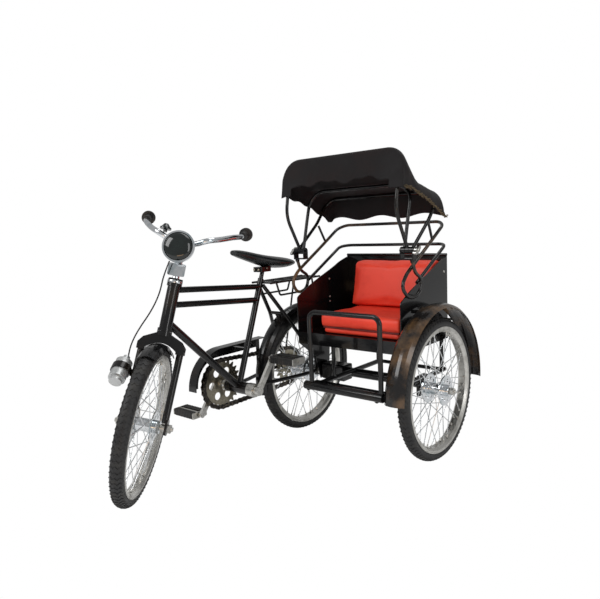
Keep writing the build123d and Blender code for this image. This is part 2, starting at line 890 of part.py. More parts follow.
export_step(crankset.part, "parts/crankset.step")

ring_radius = chain_pitch / (2 * sin(pi / ring_teeth))
sprocket_radius = chain_pitch / (2 * sin(pi / sprocket_teeth))
with BuildPart() as chainring:
    with BuildSketch(side_plane(chain_line - ring_thickness / 2)) as disc:
        with Locations((bracket_y, bracket_z)):
            Circle(ring_radius - chain_plate_half - chain_gap)
            Circle(boss_diameter / 2 + 0.1, mode=Mode.SUBTRACT)
            with PolarLocations(ring_hole_ring, ring_holes):
                Circle(ring_hole_radius, mode=Mode.SUBTRACT)
    extrude(amount=ring_thickness)
chainring.part.label = "chainring"
export_step(chainring.part, "parts/chainring.step")

with BuildPart() as sprocket:
    with BuildSketch(side_plane(chain_line - ring_thickness / 2)) as disc:
        with Locations((rear_axle_y, wheel_radius)):
            Circle(sprocket_radius - chain_plate_half - chain_gap)
            with PolarLocations(sprocket_hole_ring, sprocket_holes):
                Circle(sprocket_hole_radius, mode=Mode.SUBTRACT)
    extrude(amount=ring_thickness - 0.1)
    bar(
        spot(chain_line - ring_thickness / 2, rear_axle_y, wheel_radius),
        spot(right_dropout + dropout_thickness / 2 + 2.5, rear_axle_y, wheel_radius),
        22,
    )
    bar(
        spot(chain_line + 10, rear_axle_y, wheel_radius),
        spot(right_dropout - 5, rear_axle_y, wheel_radius),
        2 * hub_hole_radius,
        mode=Mode.SUBTRACT,
    )
sprocket.part.label = "rear_sprocket"
export_step(sprocket.part, "parts/rear_sprocket.step")

# ---- chain: one loop whose outline swells at each pin ----
centre_span = hypot(rear_axle_y - bracket_y, wheel_radius - bracket_z)
centre_tilt = atan2(wheel_radius - bracket_z, rear_axle_y - bracket_y)
run_tilt = asin((ring_radius - sprocket_radius) / centre_span)
run_length = centre_span * cos(run_tilt)
ring_wrap = ring_radius * (pi + 2 * run_tilt)
sprocket_wrap = sprocket_radius * (pi - 2 * run_tilt)
chain_length = 2 * run_length + ring_wrap + sprocket_wrap
link_count = round(chain_length / chain_pitch)
top_angle = pi / 2 + centre_tilt - run_tilt
bottom_angle = -pi / 2 + centre_tilt + run_tilt


def chain_place(distance, offset):
    """A point (back, up) beside the chain's line, a distance along it from the top run's
    front end, and the offset outward."""
    distance = distance % chain_length
    if distance < run_length:
        back = bracket_y + (ring_radius + offset) * cos(top_angle)
        up = bracket_z + (ring_radius + offset) * sin(top_angle)
        heading = top_angle - pi / 2
        return back + distance * cos(heading), up + distance * sin(heading)
    distance -= run_length
    if distance < sprocket_wrap:
        angle = top_angle - distance / sprocket_radius
        radius = sprocket_radius + offset
        return rear_axle_y + radius * cos(angle), wheel_radius + radius * sin(angle)
    distance -= sprocket_wrap
    if distance < run_length:
        back = rear_axle_y + (sprocket_radius + offset) * cos(bottom_angle)
        up = wheel_radius + (sprocket_radius + offset) * sin(bottom_angle)
        heading = bottom_angle - pi / 2
        return back + distance * cos(heading), up + distance * sin(heading)
    distance -= run_length
    angle = bottom_angle - distance / ring_radius
    radius = ring_radius + offset
    return bracket_y + radius * cos(angle), bracket_z + radius * sin(angle)


outer_edge = []
inner_edge = []
for link in range(link_count):
    pin_at = link * chain_length / link_count
    for share, half in ((-0.18, chain_plate_half), (0.18, chain_plate_half), (0.5, chain_waist_half)):
        along = pin_at + share * chain_length / link_count
        outer_edge.append(chain_place(along, half))
        inner_edge.append(chain_place(along, -half))
with BuildPart() as chain:
    with BuildSketch(side_plane(chain_line - chain_width / 2)) as loop:
        Polygon(*outer_edge)
        Polygon(*inner_edge, mode=Mode.SUBTRACT)
    extrude(amount=chain_width)
chain.part.label = "chain"
export_step(chain.part, "parts/chain.step")

with BuildPart() as rear_axle_rod:
    left_nut_x = left_dropout + dropout_thickness / 2
    right_nut_x = right_dropout - dropout_thickness / 2
    hanger_x = carriage_middle - panel_half - panel_wall
    bar(
        spot(right_nut_x - nut_length - nut_stand, rear_axle_y, wheel_radius),
        spot(hanger_x + panel_wall, rear_axle_y, wheel_radius),
        2 * axle_radius,
    )
    nut_on(spot(left_nut_x, rear_axle_y, wheel_radius), leftward)
    nut_on(spot(hanger_x - nut_length, rear_axle_y, wheel_radius), leftward)
    nut_on(spot(right_nut_x, rear_axle_y, wheel_radius), -leftward)
    bar(
        spot(hub_half + 1, rear_axle_y, wheel_radius),
        spot(left_dropout - dropout_thickness / 2, rear_axle_y, wheel_radius),
        2 * axle_radius + 5,
    )
    bar(
        spot(right_dropout + dropout_thickness / 2, rear_axle_y, wheel_radius),
        spot(right_dropout + dropout_thickness / 2 + 2, rear_axle_y, wheel_radius),
        2 * axle_radius + 5,
    )
rear_axle_rod.part.label = "rear_axle"
export_step(rear_axle_rod.part, "parts/rear_axle.step")

def seat_tube_y(height):
    """How far back the seat tube's middle is at a height."""
    return bracket_y + (height - bracket_z) * post_direction.Y / post_direction.Z


guard_inner = guard_radius - guard_band
guard_top = bracket_z + guard_radius
with BuildPart() as chain_guard:
    with BuildSketch(side_plane(guard_plate_x - guard_wall)) as band:
        with Locations((bracket_y, bracket_z)):
            Circle(guard_radius)
            Circle(guard_inner, mode=Mode.SUBTRACT)
            with Locations((guard_radius, 0), (0, -guard_radius)):
                Rectangle(2 * guard_radius, 2 * guard_radius, mode=Mode.SUBTRACT)
        with Locations(((bracket_y + guard_rear_y) / 2, guard_top - guard_band / 2)):
            Rectangle(guard_rear_y - bracket_y, guard_band)
        with Locations((guard_rear_y - 5, (guard_top + stay_level) / 2 - 3)):
            Rectangle(10, guard_top - stay_level + 6)
    extrude(amount=guard_wall)
    with BuildSketch(side_plane(guard_plate_x)) as flange:
        with Locations((bracket_y, bracket_z)):
            Circle(guard_radius)
            Circle(guard_radius - guard_wall, mode=Mode.SUBTRACT)
            with Locations((guard_radius, 0), (0, -guard_radius)):
                Rectangle(2 * guard_radius, 2 * guard_radius, mode=Mode.SUBTRACT)
        with Locations(((bracket_y + guard_rear_y) / 2, guard_top - guard_wall / 2)):
            Rectangle(guard_rear_y - bracket_y, guard_wall)
    extrude(amount=guard_flange)
    strap_under = guard_top - guard_wall
    tube_y_there = seat_tube_y(strap_under)
    with BuildSketch(level_plane(strap_under - guard_wall)) as strap:
        with Locations(((guard_plate_x - seat_tube_diameter / 2) / 2 - 0.3, tube_y_there)):
            Rectangle(-guard_plate_x - seat_tube_diameter / 2 - 0.8, 8)
    extrude(amount=guard_wall)
    bar(
        spot(guard_plate_x, guard_rear_y - 5, stay_level),
        spot(-52, guard_rear_y - 5, stay_level),
        5.0,
    )
    bent_bar(right_chain_stay, stay_diameter + 0.4, stay_bends, mode=Mode.SUBTRACT)
chain_guard.part.label = "chain_guard"
export_step(chain_guard.part, "parts/chain_guard.step")

bridge_y = 388.0
with BuildPart() as rear_mudguard:
    guard(rear_axle, leftward, rear_guard_tail, rear_guard_arc, rear_guard_radius, rear_guard_half)
    # the bridge to the seat stays, and two wire stays to the dropouts
    bar(spot(0, 397, 257), spot(0, bridge_y, 272), 10)
    bar(spot(-14.4, bridge_y, 272), spot(14.4, bridge_y, 272), 7)
    wire_y = rear_axle_y + (rear_guard_radius - 6) * cos(radians(20))
    wire_z = wheel_radius + (rear_guard_radius - 6) * sin(radians(20))
    wire_foot_y = rear_axle_y + 12
    wire_foot_z = wheel_radius + 4
    wire_left = spot(rear_guard_half - 0.8, wire_y, wire_z)
    wire_right = spot(0.8 - rear_guard_half, wire_y, wire_z)
    bar(wire_left, spot(left_dropout - dropout_thickness / 2 - 1.4, wire_foot_y, wire_foot_z), 2.6)
    bent_bar(
        (
            wire_right,
            spot(right_dropout - 4.0, rear_axle_y + 58, 161),
            spot(right_dropout - dropout_thickness / 2 - 1.4, wire_foot_y, wire_foot_z),
        ),
        2.6,
        (20.0,),
    )
rear_mudguard.part.label = "rear_mudguard"
export_step(rear_mudguard.part, "parts/rear_mudguard.step")

with BuildPart() as rear_carrier:
    rail_x = rack_half - rack_bar / 2
    reach = (seat_tube_diameter + rack_bar) / 2 + 0.15
    rack_front = seat_tube_y(rack_z) + reach / post_direction.Z
    low_rear = rack_rear - 46
    for side in (-1, 1):
        x = side * rail_x
        bar(spot(x, rack_front - 5, rack_z), spot(x, rack_rear + 5, rack_z), rack_bar)
        hoop = (
            spot(x, 362, rack_z + 0.6),
            spot(x, 372, rack_low_z),
            spot(x, low_rear, rack_low_z),
            spot(x, low_rear + 12, rack_z + 0.6),
        )
        bent_bar(hoop, rack_bar - 0.4, (6.0, 6.0))
        outside = left_dropout + dropout_thickness / 2 + rack_bar / 2 + 0.1
        if side < 0:
            outside = right_dropout - dropout_thickness / 2 - rack_bar / 2 - 0.1
        strut = (
            spot(x - side * 0.7, rear_axle_y + 6, rack_z + 0.9),
            spot(outside, rear_axle_y + 10, dropout_z + 34),
            spot(outside, rear_axle_y + 10, dropout_z + 12),
        )
        bent_bar(strut, rack_bar - 0.4, (12.0,))
    for number in range(rack_bars):
        back = rack_front + number * (rack_rear - rack_front) / (rack_bars - 1)
        bar(spot(-rail_x, back, rack_z), spot(rail_x, back, rack_z), rack_bar - 0.8)
rear_carrier.part.label = "rear_carrier"
export_step(rear_carrier.part, "parts/rear_carrier.step")


# ================= pedals =================
# each pedal: its side, the inner end of its pedal and the way that its crank points
for side_name, inner, side, way in (
    ("left", left_arm_outer + pedal_gap, 1, 1),
    ("right", right_arm_outer - pedal_gap, -1, -1),
):
    pin_y = bracket_y + way * crank_back
    pin_z = bracket_z + way * crank_up
    low_x = min(inner, inner + side * pedal_length)
    with BuildPart() as pedal:
        bar(spot(low_x, pin_y, pin_z), spot(low_x + pedal_length, pin_y, pin_z), pin_diameter + 5)
        for plate_x in (low_x, low_x + pedal_length - pedal_plate):
            with BuildSketch(side_plane(plate_x)) as plate:
                with Locations((pin_y, pin_z)):
                    RectangleRounded(pedal_width, pedal_height, 3)
            extrude(plate.sketch, amount=pedal_plate)
        bar(
            spot(low_x - 1, pin_y, pin_z),
            spot(low_x + pedal_length + 1, pin_y, pin_z),
            pin_diameter + 2 * pin_play,
            mode=Mode.SUBTRACT,
        )
    pedal.part.label = f"{side_name}_pedal"
    export_step(pedal.part, f"parts/{side_name}_pedal.step")

    with BuildPart() as blocks:
        with BuildSketch(side_plane(low_x + pedal_plate + 0.1)) as pair:
            with Locations((pin_y - pedal_block_stand, pin_z), (pin_y + pedal_block_stand, pin_z)):
                RectangleRounded(pedal_block, pedal_height + 1, 2)
        extrude(amount=pedal_length - 2 * pedal_plate - 0.2)
    blocks.part.label = f"{side_name}_pedal_blocks"
    export_step(blocks.part, f"parts/{side_name}_pedal_blocks.step")


# ================= carriage =================
left_inner = carriage_middle + panel_half
right_inner = carriage_middle - panel_half
right_outer = right_inner - panel_wall
plate_x = beam_left

with BuildPart() as carriage_frame:
    bar(spot(right_inner + 0.2, rear_axle_y, beam_z), spot(beam_left, rear_axle_y, beam_z), beam_diameter)
    bar(
        spot(foot_tube_right, foot_tube_y, foot_tube_z),
        spot(foot_tube_left, foot_tube_y, foot_tube_z),
        foot_tube_diameter,
    )
    for x in (runner_right, runner_left):
        bar(spot(x, foot_tube_y, runner_z), spot(x, panel_back - 4, runner_z), runner_diameter)
        for back in (panel_front + 8, panel_back - 14):
            bar(spot(x, back, runner_z), spot(x, back, pan_under), post_leg_diameter)
    bar(spot(runner_right, panel_back - 9, runner_z), spot(runner_left, panel_back - 9, runner_z), 8)
    with BuildSketch(side_plane(plate_x)) as end_plate:
        with Locations((rear_axle_y, beam_z - 3)):
            RectangleRounded(34, 40, 5)
        with Locations((rear_axle_y, wheel_radius)):
            Circle(axle_radius + 0.1, mode=Mode.SUBTRACT)
    extrude(amount=end_plate_wall)
    bar(
        spot(plate_x - 14, rear_axle_y, wheel_radius),
        spot(plate_x + 1, rear_axle_y, wheel_radius),
        2 * axle_radius + 0.2,
        mode=Mode.SUBTRACT,
    )
carriage_frame.part.label = "carriage_frame"
export_step(carriage_frame.part, "parts/carriage_frame.step")

with BuildPart() as axle_clamp:
    with BuildSketch(side_plane(clamp_right)) as block:
        with Locations((rear_axle_y, beam_z - 2)):
            RectangleRounded(36, 34, 5)
        with Locations((rear_axle_y, beam_z)):
            Circle(beam_diameter / 2 + 0.1, mode=Mode.SUBTRACT)
    extrude(amount=clamp_length)
axle_clamp.part.label = "axle_clamp"
export_step(axle_clamp.part, "parts/axle_clamp.step")

side_axle_end = side_wheel_x + hub_half + 1 + nut_length + nut_stand
with BuildPart() as side_axle_rod:
    bar(
        spot(plate_x - 13.5, rear_axle_y, wheel_radius),
        spot(side_axle_end, rear_axle_y, wheel_radius),
        2 * axle_radius,
    )
    nut_on(spot(side_wheel_x + hub_half + 1, rear_axle_y, wheel_radius), leftward)
    bar(
        spot(plate_x + end_plate_wall, rear_axle_y, wheel_radius),
        spot(side_wheel_x - hub_half - 0.6, rear_axle_y, wheel_radius),
        2 * axle_radius + 5,
    )
side_axle_rod.part.label = "side_axle"
export_step(side_axle_rod.part, "parts/side_axle.step")

with BuildPart() as footboard:
    board_width = runner_left - runner_right + runner_diameter
    board_middle = (runner_left + runner_right) / 2
    board_z = runner_z + runner_diameter / 2
    board_back = foot_tube_y + foot_tube_diameter / 2 + 1 + board_depth / 2
    with BuildSketch(level_plane(board_z)) as plate:
        with Locations((board_middle, board_back)):
            Rectangle(board_width, board_depth)
    extrude(amount=board_wall)
    with BuildSketch(level_plane(board_z + board_wall)) as ribs:
        with Locations((board_middle, board_back)):
            with GridLocations(0, board_depth / board_ribs, 1, board_ribs):
                Rectangle(board_width, board_depth / board_ribs / 2)
    extrude(amount=1.2)
footboard.part.label = "footboard"
export_step(footboard.part, "parts/footboard.step")

with BuildPart() as grab_rail:
    post_bottom = foot_tube_z + foot_tube_diameter / 2 + 0.1
    bent_bar(
        (
            spot(rail_post_right, foot_tube_y, post_bottom),
            spot(rail_post_right, foot_tube_y, rail_top),
            spot(rail_post_left, foot_tube_y, rail_top),
            spot(rail_post_left, foot_tube_y, post_bottom),
        ),
        grab_diameter,
        (14.0, 14.0),
    )
grab_rail.part.label = "grab_rail"
export_step(grab_rail.part, "parts/grab_rail.step")

with BuildPart() as seat_pan:
    pan_width = 2 * panel_half - 0.4
    with BuildSketch(level_plane(pan_under)) as pan:
        with Locations((carriage_middle, (panel_front + panel_back) / 2 - 1)):
            Rectangle(pan_width, panel_back - panel_front - 2.4)
    extrude(amount=seat_height - pan_under)
    with BuildSketch(cross_plane(panel_front)) as front_rail:
        with Locations((carriage_middle, (panel_bottom + seat_height) / 2)):
            Rectangle(pan_width, seat_height - panel_bottom)
    extrude(amount=front_rail_wall)
    with BuildSketch(cross_plane(panel_front + 3)) as inner_face:
        with Locations((carriage_middle, (panel_bottom + seat_height) / 2)):
            Rectangle(pan_width, seat_height - panel_bottom)
    extrude(amount=3)
seat_pan.part.label = "seat_pan"
export_step(seat_pan.part, "parts/seat_pan.step")


with BuildPart() as left_panel:
    with BuildSketch(side_plane(left_inner)):
        with BuildLine():
            Polyline(
                (panel_front, panel_shoulder - 6),
                (panel_front, panel_bottom),
                (panel_back, panel_bottom),
                (panel_back, panel_top),
            )
            Spline(
                *panel_curve,
                tangents=panel_curve_ends,
            )
        make_face()
    extrude(amount=panel_wall)
left_panel.part.label = "left_panel"
export_step(left_panel.part, "parts/left_panel.step")

with BuildPart() as right_panel:
    with BuildSketch(side_plane(right_outer)):
        with BuildLine():
            Polyline(
                (panel_front, panel_shoulder - 6),
                (panel_front, panel_bottom),
                (rear_axle_y - hanger_half - 14, panel_bottom - 40),
                (rear_axle_y - hanger_half, hanger_bottom),
                (rear_axle_y + hanger_half, hanger_bottom),
                (rear_axle_y + hanger_half + 6, panel_bottom - 20),
                (panel_back, panel_bottom),
                (panel_back, panel_top),
            )
            Spline(
                *panel_curve,
                tangents=panel_curve_ends,
            )
        make_face()
        with Locations((rear_axle_y, wheel_radius)):
            Circle(axle_radius + 0.1, mode=Mode.SUBTRACT)
    extrude(amount=panel_wall)
right_panel.part.label = "right_panel"
export_step(right_panel.part, "parts/right_panel.step")

with BuildPart() as back_panel:
    with BuildSketch(cross_plane(panel_back)) as sheet:
        with Locations((carriage_middle, (panel_bottom + panel_top) / 2)):
            Rectangle(2 * panel_half - 0.4, panel_top - panel_bottom)
    extrude(amount=panel_wall)
    bar(
        spot(right_outer, panel_back - panel_wall, panel_top + 2.6),
        spot(left_inner + panel_wall, panel_back - panel_wall, panel_top + 2.6),
        6.0,
    )
back_panel.part.label = "back_panel"
export_step(back_panel.part, "parts/back_panel.step")

with BuildPart() as seat_cushion:
    with BuildSketch(level_plane(seat_height + soft_gap)) as base:
        with Locations(((cushion_left + cushion_right) / 2, (panel_front + cushion_rear) / 2)):
            RectangleRounded(cushion_left - cushion_right, cushion_rear - panel_front, 6)
    extrude(amount=cushion_top - seat_height - soft_gap)
    fillet(seat_cushion.faces().sort_by(Axis.Z)[-1].edges(), radius=7)
seat_cushion.part.label = "seat_cushion"
export_step(seat_cushion.part, "parts/seat_cushion.step")

with BuildPart() as back_cushion:
    with BuildSketch(side_plane(cushion_right)) as section:
        Polygon(
            (back_low_y, cushion_top + soft_gap),
            (back_high_y, back_top - 8),
            (back_high_y + 10, back_top),
            (panel_back - panel_wall - 5, back_top),
            (panel_back - panel_wall - 5, cushion_top + soft_gap),
        )
    extrude(amount=cushion_left - 4 - cushion_right)
    fillet(back_cushion.edges().filter_by(Axis.X).group_by(Axis.Y)[0], radius=6)
back_cushion.part.label = "back_cushion"
export_step(back_cushion.part, "parts/back_cushion.step")

with BuildPart() as side_mudguard:
    guard(side_axle, leftward, side_guard_tail, side_guard_arc, side_guard_radius, side_guard_half)
    # three brackets to the left panel
    for angle in side_bracket_angles:
        reach = side_guard_radius - 11.5
        back = rear_axle_y + reach * cos(radians(angle))
        up = wheel_radius + reach * sin(radians(angle))
        bar(
            spot(left_inner + panel_wall + 0.1, back, up),
            spot(side_wheel_x - side_guard_half + guard_wall + 0.4, back, up),
            7.0,
        )
side_mudguard.part.label = "side_mudguard"
export_step(side_mudguard.part, "parts/side_mudguard.step")


# ================= rails and hood =================
def mirrored_route(half_route):
    """A route over both sides: offsets from the carriage's middle, places back and up."""
    left_run = [spot(carriage_middle + out, back, up) for out, back, up in half_route]
    right_run = [spot(carriage_middle - out, back, up) for out, back, up in half_route]
    return left_run + right_run[::-1]


upper_route = (
    (rail_half + 7.0, 413.0, 380.0),
    (rail_half + 7.0, 420.0, 361.0),
    (rail_half + 7.0, 447.0, 346.0),
    (rail_half + 6.0, 437.0, 320.0),
    (rail_half + 3.0, 404.0, 314.0),
    (rail_half, 384.0, 338.0),
    (rail_half, 402.0, 359.0),
    (rail_half, 497.0, 413.0),
    (rail_half, 546.0, 442.0),
    (rail_half - 14.0, 560.0, 449.0),
)
lower_route = (
    (rail_half, 439.0, 340.0),
    (rail_half, 553.0, 402.0),
    (rail_half - 14.0, 568.0, 404.5),
)
with BuildPart() as upper_handrail:
    bent_bar(mirrored_route(upper_route), rail_diameter)
upper_handrail.part.label = "upper_handrail"
export_step(upper_handrail.part, "parts/upper_handrail.step")

with BuildPart() as lower_handrail:
    bent_bar(mirrored_route(lower_route), rail_diameter)
lower_handrail.part.label = "lower_handrail"
export_step(lower_handrail.part, "parts/lower_handrail.step")

front_half = front_bow_half
middle_half = front_bow_half - bow_gap
rear_half = front_bow_half + bow_gap
yoke_in = middle_half - eye_thickness / 2 - 0.4
yoke_out = rear_half + eye_thickness / 2 + 0.4
with BuildPart() as hood_knuckles:
    for side in (-1, 1):
        for cheek in (yoke_in - yoke_wall, yoke_out):
            low = carriage_middle + (cheek if side > 0 else -cheek - yoke_wall)
            with BuildSketch(side_plane(low)) as cheek_plate:
                with Locations((pivot_y, (pivot_z + yoke_floor) / 2)):
                    Rectangle(eye_diameter, pivot_z - yoke_floor)
                with Locations((pivot_y, pivot_z)):
                    Circle(eye_diameter / 2)
            extrude(cheek_plate.sketch, amount=yoke_wall)
        with BuildSketch(level_plane(yoke_floor)) as floor:
            with Locations((carriage_middle + side * (yoke_in + yoke_out) / 2, pivot_y)):
                Rectangle(yoke_out - yoke_in + 2 * yoke_wall, eye_diameter)
        extrude(floor.sketch, amount=yoke_wall)
        bolt_in = carriage_middle + side * (yoke_in - yoke_wall - 3)
        bolt_out = carriage_middle + side * (yoke_out + yoke_wall + wing_boss)
        bar(spot(bolt_in, pivot_y, pivot_z), spot(bolt_out, pivot_y, pivot_z), bolt_diameter)
        wing_start = carriage_middle + side * (yoke_out + yoke_wall)
        bar(
            spot(wing_start, pivot_y, pivot_z),
            spot(wing_start + side * wing_boss, pivot_y, pivot_z),
            9.0,
        )
        wing_low = min(wing_start + side * 1.5, wing_start + side * (wing_boss - 0.5))
        with BuildSketch(side_plane(wing_low)) as wings:
            with Locations((pivot_y, pivot_z)):
                SlotOverall(22, 6, rotation=35)
        extrude(wings.sketch, amount=wing_boss - 2)
        neck_out, neck_y, neck_z = upper_route[0]
        next_y, next_z = upper_route[1][1:]
        neck_x = carriage_middle + side * neck_out
        upward = Vector(0, neck_y - next_y, neck_z - next_z).normalized()
        neck = spot(neck_x, neck_y, neck_z)
        bar(neck + upward * 0.1, neck + upward * 5.5, rail_diameter + 2)
hood_knuckles.part.label = "hood_knuckles"
export_step(hood_knuckles.part, "parts/hood_knuckles.step")


# each bow: its name, half width and its leg's points back and up
bows = (
    ("front", front_half, ((pivot_y, pivot_z), (373.0, 472.0), (392.0, 577.0)), (60.0, 27.0)),
    ("middle", middle_half, ((pivot_y, pivot_z), (429.0, 463.0), (445.0, 520.0)), (200.0, 36.0)),
    ("rear", rear_half, ((pivot_y, pivot_z), (480.0, 455.0), (523.0, 506.0)), (120.0, 27.0)),
)
for bow_name, half, leg, bends in bows:
    with BuildPart() as hood_bow:
        bent_bar(
            mirrored_route([(half, back, up) for back, up in leg]),
            bow_diameter,
            bends + bends[::-1],
        )
        for side in (-1, 1):
            x = carriage_middle + side * half
            eye_in = spot(x - eye_thickness / 2, pivot_y, pivot_z)
            eye_out = spot(x + eye_thickness / 2, pivot_y, pivot_z)
            bar(eye_in, eye_out, eye_diameter)
            bar(eye_in, eye_out, bolt_diameter + 2 * bolt_play, mode=Mode.SUBTRACT)
    hood_bow.part.label = f"hood_bow_{bow_name}"
    export_step(hood_bow.part, f"parts/hood_bow_{bow_name}.step")

# short bosses hold each loop's lowest run against its side panel, and a prop each side
# stands from the upper handrail to the rear bow
boss_out = (upper_route[3][0] + upper_route[4][0]) / 2 - rail_diameter / 2
boss_y = (upper_route[3][1] + upper_route[4][1]) / 2
boss_z = (upper_route[3][2] + upper_route[4][2]) / 2
with BuildPart() as rail_brackets:
    for side in (-1, 1):
        bar(
            spot(carriage_middle + side * (panel_half + panel_wall + 0.2), boss_y, boss_z),
            spot(carriage_middle + side * (boss_out - 0.3), boss_y, boss_z),
            7.0,
        )
        x = carriage_middle + side * (rail_half + 0.5)
        bar(spot(x, 499.0, 418.6), spot(x + side * 2, 481.5, 450.0), 5.0)
rail_brackets.part.label = "rail_brackets"
export_step(rail_brackets.part, "parts/rail_brackets.step")

# the hood's cloth: its outline from the side, back and up
cloth_outer = (
    (385.0, 511.0),
    (385.0, 581.9),
    (397.0, 581.9),
    (448.5, 525.6),
    (527.0, 511.6),
    (530.0, 503.0),
    (524.0, 495.0),
    (542.0, 458.0),
    (533.0, 457.0),
    (465.0, 490.0),
    (404.0, 510.0),
)
cloth_inner = (
    (380.0, 500.0),
    (380.0, 580.7),
    (396.4, 580.7),
    (448.0, 524.4),
    (526.0, 510.5),
    (528.6, 503.3),
    (522.6, 495.2),
    (541.0, 455.0),
    (530.0, 450.0),
    (465.0, 480.0),
)
cloth_half = rear_half + bow_diameter / 2 + cloth_gap + cloth
with BuildPart() as hood_fabric:
    with BuildSketch(side_plane(carriage_middle - cloth_half)) as outside:
        Polygon(*cloth_outer)
    extrude(amount=2 * cloth_half)
    with BuildSketch(side_plane(carriage_middle - cloth_half + cloth)) as inside:
        Polygon(*cloth_inner)
    extrude(amount=2 * (cloth_half - cloth), mode=Mode.SUBTRACT)
hood_fabric.part.label = "hood_fabric"
export_step(hood_fabric.part, "parts/hood_fabric.step")
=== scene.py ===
# %% [markdown]
# # A cycle rickshaw, dressed
# The solids of the rickshaw are already made and come in as a fixed frame. This lesson
# gives them their looks: paint, chrome, rubber, vinyl and cloth. Where a plain solid
# isn't enough, such as a tyre's tread, a chain or a cushion, a new piece replaces it.

# %% The frame
from math import asin, atan2, cos, hypot, pi, radians, sin

import bmesh
import bpy
from mathutils import Matrix, Vector, noise


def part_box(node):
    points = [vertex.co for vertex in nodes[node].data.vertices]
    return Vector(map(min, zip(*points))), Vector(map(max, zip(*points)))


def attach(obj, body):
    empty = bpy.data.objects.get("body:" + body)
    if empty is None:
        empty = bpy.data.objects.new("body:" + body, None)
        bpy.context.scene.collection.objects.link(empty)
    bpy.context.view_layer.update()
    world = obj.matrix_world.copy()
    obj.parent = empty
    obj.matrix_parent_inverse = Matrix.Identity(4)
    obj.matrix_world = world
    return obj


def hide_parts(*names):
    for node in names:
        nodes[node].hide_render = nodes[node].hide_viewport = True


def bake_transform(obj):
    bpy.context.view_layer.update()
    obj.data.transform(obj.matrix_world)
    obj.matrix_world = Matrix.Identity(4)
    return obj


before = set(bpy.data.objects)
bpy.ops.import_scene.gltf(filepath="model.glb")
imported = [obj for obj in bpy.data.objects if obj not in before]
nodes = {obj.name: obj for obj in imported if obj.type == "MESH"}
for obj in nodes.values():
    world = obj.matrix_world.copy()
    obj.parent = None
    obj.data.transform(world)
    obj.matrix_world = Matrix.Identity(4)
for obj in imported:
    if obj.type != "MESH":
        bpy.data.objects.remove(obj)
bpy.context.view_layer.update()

scene = bpy.context.scene

# %% [markdown]
# ## Where things are
# The bicycle is measured in millimetres from the point where its steering axis meets the
# floor: left, back and up. The frame's own origin is under the middle of the whole
# rickshaw, in metres, so one helper changes from the first to the second. The steering
# stands turned to the left, so places on the fork and the handlebar have a helper too.

# %% The bicycle's measure and the steering's
MM = 0.001
MIDDLE_FROM_BICYCLE = 110.6
MIDDLE_FROM_STEERING = 282.3
RAKE = radians(19.44)
STEER_ANGLE = radians(39.9)


def spot(x, y, z):
    """A place given left, back and up in the bicycle's millimetres."""
    return Vector((x - MIDDLE_FROM_BICYCLE, y - MIDDLE_FROM_STEERING, z)) * MM


steer_up = Vector((0, sin(RAKE), cos(RAKE)))
steer_left = Matrix.Rotation(STEER_ANGLE, 3, steer_up) @ Vector((1, 0, 0))
steer_back = steer_up.cross(steer_left)


def steered(left, forward, along):
    """A place on the steering: to its left, forward of its axis and up along it."""
    return spot(0, 0, 0) + (steer_left * left - steer_back * forward + steer_up * along) * MM


def middle(node):
    """The middle of a CAD node's box."""
    low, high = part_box(node)
    return (Vector(low) + Vector(high)) / 2


print("the steering axis meets the floor at", [round(v, 3) for v in spot(0, 0, 0)])

# %% [markdown]
# ## Making meshes
# Most pieces start as lists of points and faces. One helper turns such lists into an
# object with smooth or flat shading; another turns a finished, modified object into a
# plain mesh.

# %% Mesh helpers
def new_piece(name, points, faces, material, smooth=True, angle=40):
    """An object from points and faces, smooth except where it turns sharply."""
    mesh = bpy.data.meshes.new(name)
    mesh.from_pydata([tuple(p) for p in points], [], faces)
    mesh.materials.append(material)
    mesh.validate()
    piece = bpy.data.objects.new(name, mesh)
    scene.collection.objects.link(piece)
    if smooth:
        mesh.shade_smooth()
        mesh.set_sharp_from_angle(angle=radians(angle))
    return piece


def settle(piece):
    """Applies a piece's modifiers, so that its mesh is plain."""
    bpy.context.view_layer.update()
    graph = bpy.context.evaluated_depsgraph_get()
    mesh = bpy.data.meshes.new_from_object(piece.evaluated_get(graph))
    piece.modifiers.clear()
    old = piece.data
    piece.data = mesh
    mesh.name = piece.name
    bpy.data.meshes.remove(old)
    return piece


def face_out(piece):
    """Merges doubles, then turns every face outwards."""
    work = bmesh.new()
    work.from_mesh(piece.data)
    bmesh.ops.remove_doubles(work, verts=work.verts, dist=1e-6)
    bmesh.ops.recalc_face_normals(work, faces=work.faces)
    work.to_mesh(piece.data)
    work.free()
    return piece


def grid_faces(rows, columns, loop_rows=False, loop_columns=False):
    """Quads over a grid of points that were listed row by row."""
    faces = []
    for row in range(rows if loop_rows else rows - 1):
        for column in range(columns if loop_columns else columns - 1):
            below = (row + 1) % rows
            beside = (column + 1) % columns
            faces.append(
                (row * columns + column, row * columns + beside,
                 below * columns + beside, below * columns + column)
            )
    return faces


def prism_faces(count, start=0):
    """The faces of a prism whose points are one outline and then the other."""
    sides = [(start + i, start + (i + 1) % count) for i in range(count)]
    faces = [tuple(a for a, b in reversed(sides)), tuple(a + count for a, b in sides)]
    return faces + [(a, b, b + count, a + count) for a, b in sides]


def finish_piece(piece, body):
    """Sets a piece on its body and prints how many faces it has."""
    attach(piece, body)
    print(piece.name, "has", len(piece.data.polygons), "faces")
    return piece

# %% [markdown]
# ## Shader groups
# Real finishes are never one flat value. Paint has faint waves and dust, rubber has
# blotches, vinyl has a fine grain. One node group mixes two colours and two roughnesses
# by soft noise, and two others make the small bumps of grain and of woven cloth. Groups
# put out only colours and values; each material keeps its own Principled shader.

# %% Helpers for node trees
FLOAT, COLOUR, VECTOR = "NodeSocketFloat", "NodeSocketColor", "NodeSocketVector"


